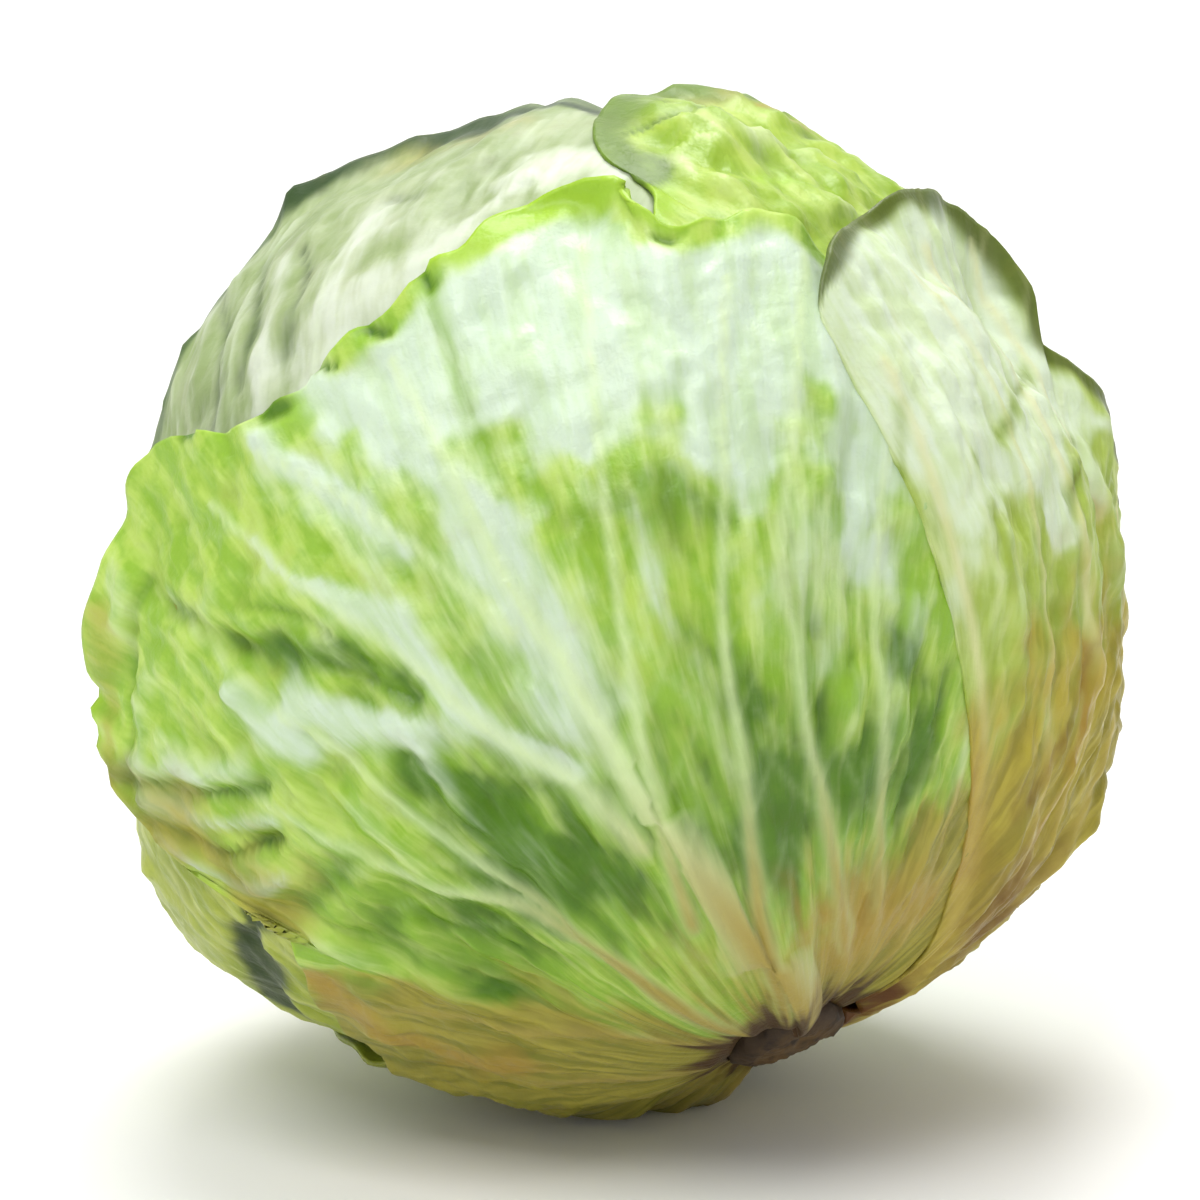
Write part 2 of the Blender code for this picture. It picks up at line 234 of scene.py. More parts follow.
def inside(polygon: np.ndarray, points: np.ndarray) -> np.ndarray:
    """Whether points are inside a polygon.

    Args:
        polygon: its flat corners, one a row.
        points: flat points, one a row.

    Returns:
        True or False for each point.
    """
    ax, ay = polygon.T
    bx, by = np.roll(polygon, -1, axis=0).T
    x, y = points[:, :1], points[:, 1:]
    spans = (ay > y) != (by > y)
    rise = np.where(by == ay, 1.0, by - ay)
    return (spans & (x < (bx - ax) * (y - ay) / rise + ax)).sum(axis=1) % 2 == 1


def linear(colour: str) -> tuple[float, float, float, float]:
    """Turns a colour to linear.

    Args:
        colour: an sRGB hex value.

    Returns:
        Its linear red, green and blue, and an alpha of 1.
    """
    channels = [int(colour[i:i + 2], 16) / 255.0 for i in (1, 3, 5)]
    red, green, blue = (c / 12.92 if c <= 0.04045 else ((c + 0.055) / 1.055) ** 2.4 for c in channels)
    return red, green, blue, 1.0


def add_node(
    tree: bpy.types.NodeTree,
    kind: str,
    settings: dict[str, object] | None = None,
    values: dict[str | int, object] | None = None,
    links: dict[str | int, bpy.types.NodeSocket] | None = None,
) -> bpy.types.Node:
    """Adds a node with its settings, values and links.

    Args:
        tree: where it goes.
        kind: the node's type.
        settings: its own properties.
        values: numbers and colours for its inputs.
        links: outputs that feed its inputs.

    Returns:
        The new node.
    """
    node = tree.nodes.new(kind)
    for name, value in (settings or {}).items():
        setattr(node, name, value)
    for key, value in (values or {}).items():
        node.inputs[key].default_value = value
    for key, socket in (links or {}).items():
        tree.links.new(socket, node.inputs[key])
    return node


def store(mesh: bpy.types.Mesh, name: str, values: np.ndarray) -> None:
    """Stores an attribute of a mesh's points.

    Args:
        mesh: where it goes.
        name: what it is called.
        values: a number for each point, or a row of three for a vector.
    """
    kind, item = ("FLOAT", "value") if values.ndim == 1 else ("FLOAT_VECTOR", "vector")
    attribute = mesh.attributes.new(name, kind, "POINT")
    attribute.data.foreach_set(item, values.ravel().astype(np.float32))


def store_pattern(mesh: bpy.types.Mesh, places: np.ndarray) -> None:
    """Gives a mesh its pattern map.

    Args:
        mesh: where it goes.
        places: each point's place in the map, one a row.
    """
    corners = np.empty(len(mesh.loops), np.int32)
    mesh.loops.foreach_get("vertex_index", corners)
    layer = mesh.uv_layers.new(name=PATTERN_MAP)
    layer.data.foreach_set("uv", places[corners].ravel().astype(np.float32))


def add_piece(name: str, bm: bmesh.types.BMesh, points: np.ndarray) -> bpy.types.Object:
    """Turns a bmesh into a smooth piece of the scene.

    Args:
        name: the piece's name.
        bm: its faces. It is freed here.
        points: where its vertices go, one a row.

    Returns:
        The new object.
    """
    mesh = bpy.data.meshes.new(name)
    bm.to_mesh(mesh)
    bm.free()
    mesh.vertices.foreach_set("co", points.ravel().astype(np.float32))
    mesh.shade_smooth()
    piece = bpy.data.objects.new(name, mesh)
    bpy.context.scene.collection.objects.link(piece)
    return piece


@dataclass(frozen=True)
class LeafFinish:
    """A fresh leaf: thin moist tissue under a coat of natural wax.

    The wax gives soft broad highlights, the tissue lets some light through, and the colour runs from deep
    green to whitish where the blade is thin, and to yellow-brown where it has aged near the stem. Painted
    shade darkens its hollows, creases and the lower side round the stem, and painted highlights lighten its
    ridges and folds. The sizes are in metres.
    """

    name: str
    blade: str = "#AFCB58"
    mottle: str = "#8AB236"
    # Deep green, which the dark zone also lays as painted shade
    dark: str = "#46700E"
    # Whitish tissue, which the pale zone also lays as painted highlights
    pale: str = "#C5D7BF"
    pale_shade: str = "#BCD1AC"
    rim: str = "#9AC034"
    # The aged and browned tones are also painted shade, on the head's lower side round the stem
    aged_and_shade: str = "#7E7A28"
    aged_and_shade_lighter: str = "#A39A3E"
    tan: str = "#A78A38"
    rib: str = "#CDE0A8"
    aged_and_shade_rib: str = "#A8964A"
    browned_and_shade: str = "#4B3418"
    streak: str = "#C6DE80"
    streak_share: float = 0.36
    roughness: float = 0.38
    subsurface: float = 0.12
    scatter: float = 0.0025
    relief: float = 0.0009
    mottle_size: float = 0.0070
    crepe_size: float = 0.0030
    grain: float = 0.0009

    def material(self) -> bpy.types.Material:
        """Builds the node material.

        Returns:
            The new material.
        """
        made = bpy.data.materials.new(self.name)
        made.use_nodes = True
        tree = made.node_tree
        tree.nodes.clear()
        texture = self.textures(tree)
        roughness = add_node(
            tree,
            "ShaderNodeMapRange",
            values={"To Min": self.roughness - 0.10, "To Max": self.roughness + 0.12},
            links={"Value": texture[Texture.MOTTLE]},
        )
        shader = add_node(
            tree,
            "ShaderNodeBsdfPrincipled",
            values={
                "Subsurface Weight": self.subsurface,
                "Subsurface Radius": (0.9, 1.0, 0.35),
                "Subsurface Scale": self.scatter,
                "IOR": 1.42,
                "Coat Weight": 0.05,
                "Specular IOR Level": 0.35,
                "Coat Roughness": 0.22,
            },
            links={
                "Base Color": self.colour(tree, texture),
                "Roughness": roughness.outputs["Result"],
                "Normal": self.bumps(tree, texture),
            },
        )
        add_node(tree, "ShaderNodeOutputMaterial", links={"Surface": shader.outputs["BSDF"]})
        return made

    def textures(self, tree: bpy.types.NodeTree) -> dict[Texture, bpy.types.NodeSocket]:
        """The noises that the colours and the bumps follow.

        Args:
            tree: where the nodes go.

        Returns:
            Each noise.
        """
        place = add_node(tree, "ShaderNodeTexCoord").outputs["Object"]
        pattern = add_node(tree, "ShaderNodeUVMap", {"uv_map": PATTERN_MAP}).outputs["UV"]
        radial = add_node(tree, "ShaderNodeAttribute", {"attribute_name": RADIAL}).outputs["Vector"]
        noises = {
            Texture.MOTTLE: (place, {"Scale": 1.0 / self.mottle_size, "Detail": 4.0, "Roughness": 0.6}),
            Texture.STREAK: (radial, {"Scale": 1.0, "Detail": 3.0, "Roughness": 0.55}),
            Texture.CREPE: (
                pattern,
                {"Scale": PATTERN_SPAN / self.crepe_size, "Detail": 3.0, "Distortion": 0.6},
            ),
            Texture.GRAIN: (place, {"Scale": 1.0 / self.grain, "Detail": 2.0}),
        }
        made = {}
        for kind, (vector, values) in noises.items():
            node = add_node(tree, "ShaderNodeTexNoise", values=values, links={"Vector": vector})
            made[kind] = node.outputs["Fac"]
        return made

    def broken(
        self,
        tree: bpy.types.NodeTree,
        texture: dict[Texture, bpy.types.NodeSocket],
        zones: dict[Zone, bpy.types.NodeSocket],
    ) -> dict[Zone, bpy.types.NodeSocket]:
        """Breaks up the soft borders of some zones by a noise, as pigment runs out between the veins. The
        painted shade and highlights in these zones are broken up the same way.

        Args:
            tree: where the nodes go.
            texture: the leaf's noises.
            zones: the zones as they are stored.

        Returns:
            The zones that are broken up.
        """
        # A high noise spreads a zone and a low one holds it back
        made = {}
        by_noise = {
            Texture.MOTTLE: (Zone.DARK, Zone.TAN, Zone.BROWNED_AND_SHADE),
            Texture.STREAK: (Zone.PALE, Zone.AGED_AND_SHADE),
        }
        for kind, zone in ((kind, zone) for kind, found in by_noise.items() for zone in found):
            links = {0: texture[kind], 2: zones[zone]}
            summed = add_node(tree, "ShaderNodeMath", {"operation": "MULTIPLY_ADD"}, {1: 0.7}, links)
            made[zone] = add_node(
                tree,
                "ShaderNodeMapRange",
                {"interpolation_type": "SMOOTHSTEP"},
                {"From Min": 0.37, "From Max": 1.40},
                {"Value": summed.outputs["Value"]},
            ).outputs["Result"]
        return made

    def colour(
        self, tree: bpy.types.NodeTree, texture: dict[Texture, bpy.types.NodeSocket]
    ) -> bpy.types.NodeSocket:
        """The leaf's colour: the tones of its blade, with the colour of each zone over them.

        Args:
            tree: where the nodes go.
            texture: the leaf's noises.

        Returns:
            The colour.
        """
        zones = {}
        for zone in Zone:
            node = add_node(tree, "ShaderNodeAttribute", {"attribute_name": zone.value})
            zones[zone] = node.outputs["Fac"]
        share = zones | self.broken(tree, texture, zones)
        streak = texture[Texture.STREAK]
        blotches = add_node(
            tree, "ShaderNodeMix", {"data_type": "FLOAT"}, {0: 0.5}, {2: streak, 3: texture[Texture.MOTTLE]}
        ).outputs[0]
        ramps = {
            "blade": (blotches, 0.60, 0.41, 1.0),
            "light streak": (streak, 0.48, 0.72, self.streak_share),
            "pale": (streak, 0.34, 0.60, 1.0),
            "aged_and_shade": (streak, 0.36, 0.64, 1.0),
        }
        rise = {}
        for name, (value, low, high, most) in ramps.items():
            rise[name] = add_node(
                tree,
                "ShaderNodeMapRange",
                {"interpolation_type": "SMOOTHSTEP"},
                {"From Min": low, "From Max": high, "To Max": most},
                {"Value": value},
            ).outputs["Result"]
        tones = {
            "blade": (rise["blade"], self.blade, self.mottle),
            "pale": (rise["pale"], self.pale_shade, self.pale),
            "aged_and_shade": (rise["aged_and_shade"], self.aged_and_shade, self.aged_and_shade_lighter),
            "rib": (zones[Zone.AGED_AND_SHADE], self.rib, self.aged_and_shade_rib),
        }
        tone = {}
        for name, (factor, one, other) in tones.items():
            pair = {6: linear(one), 7: linear(other)}
            mixed = add_node(tree, "ShaderNodeMix", {"data_type": "RGBA"}, pair, {0: factor})
            tone[name] = mixed.outputs[2]
        # The dark zone also lays painted shade and the pale zone painted highlights; the aged and browned
        # zones lay painted shade on the lower side round the stem
        layers = (
            (rise["light streak"], linear(self.streak)),
            (share[Zone.DARK], linear(self.dark)),
            (share[Zone.PALE], tone["pale"]),
            (share[Zone.RIM], linear(self.rim)),
            (share[Zone.AGED_AND_SHADE], tone["aged_and_shade"]),
            (share[Zone.TAN], linear(self.tan)),
            (share[Zone.RIB], tone["rib"]),
            (share[Zone.BROWNED_AND_SHADE], linear(self.browned_and_shade)),
        )
        colour = tone["blade"]
        for factor, over in layers:
            values, links = ({7: over}, {}) if isinstance(over, tuple) else ({}, {7: over})
            links |= {0: factor, 6: colour}
            colour = add_node(tree, "ShaderNodeMix", {"data_type": "RGBA"}, values, links).outputs[2]
        return colour

    def bumps(
        self, tree: bpy.types.NodeTree, texture: dict[Texture, bpy.types.NodeSocket]
    ) -> bpy.types.NodeSocket:
        """The fine relief of the skin, as a normal.

        Args:
            tree: where the nodes go.
            texture: the leaf's noises.

        Returns:
            The normal.
        """
        weights = {Texture.STREAK: 0.6, Texture.MOTTLE: 0.6, Texture.CREPE: 0.35, Texture.GRAIN: 0.12}
        height = None
        for kind, weight in weights.items():
            links = {0: texture[kind]} | ({2: height} if height else {})
            height = add_node(
                tree, "ShaderNodeMath", {"operation": "MULTIPLY_ADD"}, {1: weight, 2: 0.0}, links
            ).outputs["Value"]
        values = {"Strength": 0.55, "Distance": self.relief}
        return add_node(tree, "ShaderNodeBump", values=values, links={"Height": height}).outputs["Normal"]


@dataclass(frozen=True)
class StemFinish:
    """A cut butt, dried in air: matt corky brown skin round a paler face, with dark stains of dried sap, all
    darkened as painted shade.
    """

    name: str = "dried_cut_stem"
    # Pith and cork are darker than the dried butt's own browns: painted shade, as the cut face looks down
    # into the shade under the head
    pith: str = "#5E4726"
    cork: str = "#3C2A15"
    stain: str = "#2A1B0D"
    roughness: float = 0.72
    pith_radius: float = 0.0045
    cork_radius: float = 0.0095
    stain_size: float = 1.0 / 450.0
    relief: float = 0.0006

    def material(self) -> bpy.types.Material:
        """Builds the node material.

        Returns:
            The new material.
        """
        made = bpy.data.materials.new(self.name)
        made.use_nodes = True
        tree = made.node_tree
        shader = tree.nodes["Principled BSDF"]
        place = add_node(tree, "ShaderNodeTexCoord").outputs["Object"]
        across = add_node(tree, "ShaderNodeAttribute", {"attribute_name": FROM_AXIS}).outputs["Fac"]
        mottle = add_node(
            tree,
            "ShaderNodeTexNoise",
            values={"Scale": 1.0 / self.stain_size, "Detail": 5.0},
            links={"Vector": place},
        ).outputs["Fac"]
        colour = linear(self.pith)
        layers = (
            (across, self.pith_radius, self.cork_radius, self.cork),
            (mottle, 0.48, 0.68, self.stain),
        )
        for value, low, high, over in layers:
            ends = {"From Min": low, "From Max": high}
            factor = add_node(tree, "ShaderNodeMapRange", values=ends, links={"Value": value})
            values, links = {7: linear(over)}, {0: factor.outputs["Result"]}
            (values if isinstance(colour, tuple) else links)[6] = colour
            colour = add_node(tree, "ShaderNodeMix", {"data_type": "RGBA"}, values, links).outputs[2]
        values = {"Strength": 0.6, "Distance": self.relief}
        bump = add_node(tree, "ShaderNodeBump", values=values, links={"Height": mottle})
        shader.inputs["Roughness"].default_value = self.roughness
        tree.links.new(colour, shader.inputs["Base Color"])
        tree.links.new(bump.outputs["Normal"], shader.inputs["Normal"])
        return made


@dataclass(frozen=True)
class Vein:
    """A rib or vein as a line in the flat pattern, in (bearing, reach), and its half width at each end."""

    path: Curve
    thick: float
    fine: float


@dataclass(frozen=True)
class Patch:
    """A soft oval spot of a zone at (bearing, reach), with its half widths across and along in degrees."""

    zone: Zone
    bearing: float
    reach: float
    across: float
    along: float
    strength: float = 1.0


@dataclass(frozen=True)
class Streak:
    """A soft line of a zone along a path of the pattern. A ridge has a height, and a crease one below 0. A
    dark streak in a crease is painted shade, and a pale one on a ridge a painted highlight.
    """

    zone: Zone
    path: Curve
    width: float
    strength: float
    height: float = 0.0


@dataclass(frozen=True)
class WrapperLeaf:
    """One wrapper leaf. Its rim is its free margin from left to right, in (bearing, reach) degrees.

    Curves that start at 0.0 and end at 1.0 run across the leaf from its left side to its right, with values
    in metres, or from 0 to 1 for the tuck. The others run over bearings, with a reach as their value.
    """

    name: str
    slot: str
    finish: LeafFinish
    azimuth: float
    centre: float
    base: tuple[float, float]
    rim: Curve
    columns: int
    rows: int
    bend: float = 1.0
    base_reach: float = 9.0
    flare: Curve = ((0.0, 0.0010), (1.0, 0.0010))
    wave: float = 0.0016
    waves: float = 7.0
    frill: float = 0.0006
    frill_length: float = 0.0150
    curl: Curve = ((0.0, 0.0), (1.0, 0.0))
    tuck: Curve = ((0.0, 0.0), (1.0, 0.0))
    pleat: float = 0.0011
    crinkle: float = 0.0005
    undulation: float = 0.0007
    veins: tuple[Vein, ...] = ()
    side_ribs: int = 10
    streaks: tuple[Streak, ...] = ()
    patches: tuple[Patch, ...] = ()
    pale_floor: Curve = ()
    aged_and_shade_limit: Curve = ((-60.0, 26.0), (0.0, 20.0), (60.0, 26.0))
    pale_edge: Curve = ((0.0, 0.0060), (1.0, 0.0060))
    rim_band: Curve = ((0.0, 0.0040), (1.0, 0.0040))
    curve_steps: int = 8
    length_share: float = 0.6
    even_window: float = 0.08
    even_steps: int = 9
    side_points: int = 12
    rim_points: int = 160

    def axes(self) -> tuple[np.ndarray, np.ndarray, np.ndarray]:
        """How the pattern lies on the head.

        Returns:
            The direction of its middle, the way across it and the way from the stem to the tip.
        """
        phi = math.radians(self.azimuth)
        along = from_stem(self.centre + 90.0, self.azimuth)
        return from_stem(self.centre, self.azimuth), np.array((-math.sin(phi), math.cos(phi), 0.0)), along

    def wrap(self, flat: np.ndarray) -> np.ndarray:
        """Wraps the flat pattern on the head.

        Args:
            flat: points of the pattern, whose unit is a degree of arc.

        Returns:
            The direction of each.
        """
        middle, across, along = self.axes()
        x, y = flat[..., 0], flat[..., 1] - self.centre
        far = np.radians(np.hypot(x, y)) + 1e-12
        turn = np.arctan2(x, y)
        sideways = np.sin(turn)[..., None] * across + np.cos(turn)[..., None] * along
        return np.cos(far)[..., None] * middle + np.sin(far)[..., None] * sideways

    def unwrap(self, directions: np.ndarray) -> np.ndarray:
        """The inverse of wrap.

        Args:
            directions: directions on the upright head.

        Returns:
            Their points of the flat pattern.
        """
        middle, across, along = self.axes()
        far = angle_between(directions, middle)
        turn = np.arctan2(directions @ across, directions @ along)
        return np.stack((far * np.sin(turn), far * np.cos(turn) + self.centre), axis=-1)

    def rim_curve(self) -> tuple[np.ndarray, np.ndarray, np.ndarray]:
        """The smooth rim.

        Returns:
            Its (bearing, reach), its place from 0 to 1 and its length so far in degrees of arc.
        """
        curve = smooth_curve(self.rim, self.curve_steps)
        length = np.linalg.norm(np.diff(flat_point(*curve.T), axis=0), axis=1)
        sweep = np.abs(np.diff(curve[:, 0]))
        share = self.length_share * length / length.sum() + (1.0 - self.length_share) * sweep / sweep.sum()
        place, so_far = (np.concatenate(((0.0,), np.cumsum(part))) for part in (share, length))
        return curve, place, so_far

    def fan(self, u: np.ndarray, v: np.ndarray) -> np.ndarray:
        """Spreads a grid over the flat pattern. Away from the rim its rows even out the rim's notches.

        Args:
            u: from 0 at the leaf's left side to 1 at its right.
            v: from 0 at the stem to 1 at the rim.

        Returns:
            Flat points.
        """
        curve, place, _ = self.rim_curve()
        bearing = np.interp(u, place, curve[:, 0])
        reach = np.interp(u, place, curve[:, 1])
        window = np.minimum(np.minimum(u, 1.0 - u), self.even_window)
        shifts = np.linspace(-1.0, 1.0, self.even_steps)
        even = sum(np.interp(u + window * shift, place, curve[:, 1]) for shift in shifts) / self.even_steps
        reach = even + (reach - even) * v**3
        base = self.base[0] + (self.base[1] - self.base[0]) * u
        swing = bearing + (base - bearing) * (1.0 - v) ** self.bend
        return flat_point(swing, self.base_reach + (reach - self.base_reach) * v)

    def free_margin(self) -> np.ndarray:
        """The leaf's margin as far as it is free.

        Returns:
            Its flat points, up the left side, along the rim and down the right side.
        """
        side = np.linspace(0.0, 1.0, self.side_points, endpoint=False)
        across = np.linspace(0.0, 1.0, self.rim_points)
        left = self.fan(np.zeros_like(side), side)
        right = self.fan(np.ones_like(side), side)[::-1]
        return np.vstack((left, self.fan(across, np.ones_like(across)), right))

    def rim_reach(self, bearing: float) -> float:
        """The rim's reach at a bearing."""
        curve = self.rim_curve()[0]
        return float(curve[np.argmin(np.abs(curve[:, 0] - bearing)), 1])


@dataclass(frozen=True)
class Swelling:
    """A swelling of the head, or a hollow where its height is below 0.

    It stands theta degrees from the stem and phi degrees round it, and spreads over some degrees.
    """

    theta: float
    phi: float
    height: float
    spread: float


@dataclass
class Head:
    """The form of the whole head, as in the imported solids: swellings, leaf on leaf and the pressed spot."""

    leaves: tuple[WrapperLeaf, ...]
    heart_radius: float = 0.0704
    first_gap: float = 0.0012
    leaf_pitch: float = 0.0022
    leaf_thickness: float = 0.0009
    stem_dip: float = 0.0030
    stem_dip_angle: float = 16.0
    stem_lean: float = 9.0
    stem_lean_towards: float = -175.4
    stem_lean_spread: float = 24.0
    step_width: float = 0.0075
    step_margin: float = 0.0008
    pressed_angle: float = 17.0
    pressed_border: float = 8.0
    tilt: float = 41.5
    heading: float = -59.2
    centre: tuple[float, float, float] = (-0.0012, 0.0008, 0.0790)
    swellings: tuple[Swelling, ...] = (
        Swelling(148.0, -38.0, 0.0030, 30.0),
        Swelling(136.0, 65.0, 0.0050, 24.0),
        Swelling(34.0, 160.0, -0.0045, 20.0),
        Swelling(46.0, 118.0, 0.0020, 20.0),
        Swelling(78.0, -93.0, 0.0105, 20.0),
        Swelling(36.0, -135.0, 0.0035, 26.0),
        Swelling(114.0, 84.0, 0.0025, 16.0),
        Swelling(75.0, 170.0, 0.0020, 30.0),
        Swelling(20.0, 0.0, 0.0035, 14.0),
        Swelling(12.0, -165.0, -0.0050, 14.0),
        Swelling(94.0, 76.0, -0.0050, 9.0),
        Swelling(139.0, 23.0, 0.0020, 12.0),
    )
    tables: list[np.ndarray] = field(default_factory=list)

    def __post_init__(self) -> None:
        """Works out how the head lies, and each leaf's distance table, a value for each whole degree."""
        tilt, heading = math.radians(self.tilt), math.radians(self.heading)
        sideways = math.sin(tilt)
        stem = np.array((sideways * math.cos(heading), sideways * math.sin(heading), -math.cos(tilt)))
        front = np.array((0.0, -1.0, 0.0))
        front -= front.dot(stem) * stem
        front /= np.linalg.norm(front)
        self.tipped = np.column_stack((front, np.cross(-stem, front), -stem))
        self.down = self.tipped.T @ np.array((0.0, 0.0, -1.0))
        self.arc = math.radians(1.0) * self.centre[2]
        theta, phi = np.meshgrid(np.arange(181.0), np.arange(-180.0, 181.0), indexing="ij")
        directions = from_stem(theta.ravel(), phi.ravel())
        for leaf in self.leaves:
            self.tables.append(self.signed_distance(leaf, leaf.unwrap(directions)).reshape(theta.shape))

    def signed_distance(self, leaf: WrapperLeaf, flat: np.ndarray) -> np.ndarray:
        """How far points are from a leaf's free margin.

        Args:
            leaf: the leaf.
            flat: points of its pattern.

        Returns:
            Metres, below 0 inside the leaf.
        """
        margin = leaf.free_margin()
        away = nearest(tree_of(resample(margin)), flat)[1] * self.arc
        return np.where(inside(np.vstack((margin, ((0.0, 0.0),))), flat), -away, away)

    def distance(self, index: int, directions: np.ndarray) -> np.ndarray:
        """The signed distance to a leaf's margin, read from its table between whole degrees.

        Args:
            index: which leaf.
            directions: directions on the upright head.

        Returns:
            Metres, below 0 inside the leaf.
        """
        theta = np.degrees(np.arccos(np.clip(-directions[:, 2], -1.0, 1.0)))
        phi = np.degrees(np.arctan2(directions[:, 1], directions[:, 0])) + 180.0
        row, column = np.minimum(theta.astype(int), 179), np.minimum(phi.astype(int), 359)
        a, b = theta - row, phi - column
        table = self.tables[index]
        near = table[row, column] * (1 - b) + table[row, column + 1] * b
        far = table[row + 1, column] * (1 - b) + table[row + 1, column + 1] * b
        return near * (1 - a) + far * a

    def covered(self, index: int, directions: np.ndarray) -> np.ndarray:
        """1 under a leaf and a spare width round it, falling to 0 a step's width outside that."""
        away = np.maximum(self.distance(index, directions), 0.0)
        return 1.0 - smooth_step((away - self.step_margin) / self.step_width)

    def radius(self, directions: np.ndarray) -> np.ndarray:
        """The form of the heart.

        Args:
            directions: directions on the upright head.

        Returns:
            Its radius in each direction.
        """
        radius = np.full(len(directions), self.heart_radius)
        for one in self.swellings:
            off = angle_between(directions, from_stem(one.theta, one.phi))
            radius += one.height * bell(off / one.spread)
        from_pole = angle_between(directions, from_stem(0.0, 0.0))
        return radius - self.stem_dip * bell(from_pole / self.stem_dip_angle)

    def layer_radius(self, count: int, directions: np.ndarray) -> np.ndarray:
        """The first free surface over the innermost leaves.

        Args:
            count: how many leaves lie under it.
            directions: directions on the upright head.

        Returns:
            Its radius in each direction.
        """
        radius = self.radius(directions) + self.first_gap
        for index in range(count):
            radius += self.leaf_pitch * self.covered(index, directions)
        return radius

    def over(self, index: int, directions: np.ndarray) -> np.ndarray:
        """Where outer leaves lie on a leaf.

        Args:
            index: which leaf.
            directions: directions on the upright head.

        Returns:
            1 under an outer leaf, 0 where the leaf is free.
        """
        most = np.zeros(len(directions))
        for cover in range(index + 1, len(self.leaves)):
            most = np.maximum(most, self.covered(cover, directions))
        return most

    def pressed(self, directions: np.ndarray) -> np.ndarray:
        """1 where the table presses the head, 0 well away from there."""
        past = angle_between(directions, self.down) - self.pressed_angle
        return 1.0 - smooth_step(past / self.pressed_border)

    def leaning(self, directions: np.ndarray) -> np.ndarray:
        """Leans the stem off the head's axis, with the leaf bases that stand round it.

        Args:
            directions: directions before that.

        Returns:
            Directions after it.
        """
        from_pole = angle_between(directions, from_stem(0.0, 0.0))
        lean = math.tan(math.radians(self.stem_lean)) * bell(from_pole / self.stem_lean_spread)
        leant = directions + lean[:, None] * from_stem(90.0, self.stem_lean_towards)
        return leant / np.linalg.norm(leant, axis=1)[:, None]

    def place(self, directions: np.ndarray, radius: np.ndarray) -> np.ndarray:
        """Points of the lying head, which is flat where the table presses it.

        Args:
            directions: directions on the upright head.
            radius: how far out each point is.

        Returns:
            The points.
        """
        top = self.layer_radius(len(self.leaves), directions) - self.leaf_pitch + self.leaf_thickness
        leant = self.leaning(directions)
        drop = top * (leant @ self.down)
        height = self.centre[2]
        scale = np.where(drop > height, height / np.maximum(drop, height), 1.0)
        return self.lay(leant * (radius * scale)[:, None])

    def lay(self, upright: np.ndarray) -> np.ndarray:
        """Points of the lying head from points of the upright one, whose middle is the origin."""
        return upright @ self.tipped.T + np.array(self.centre)


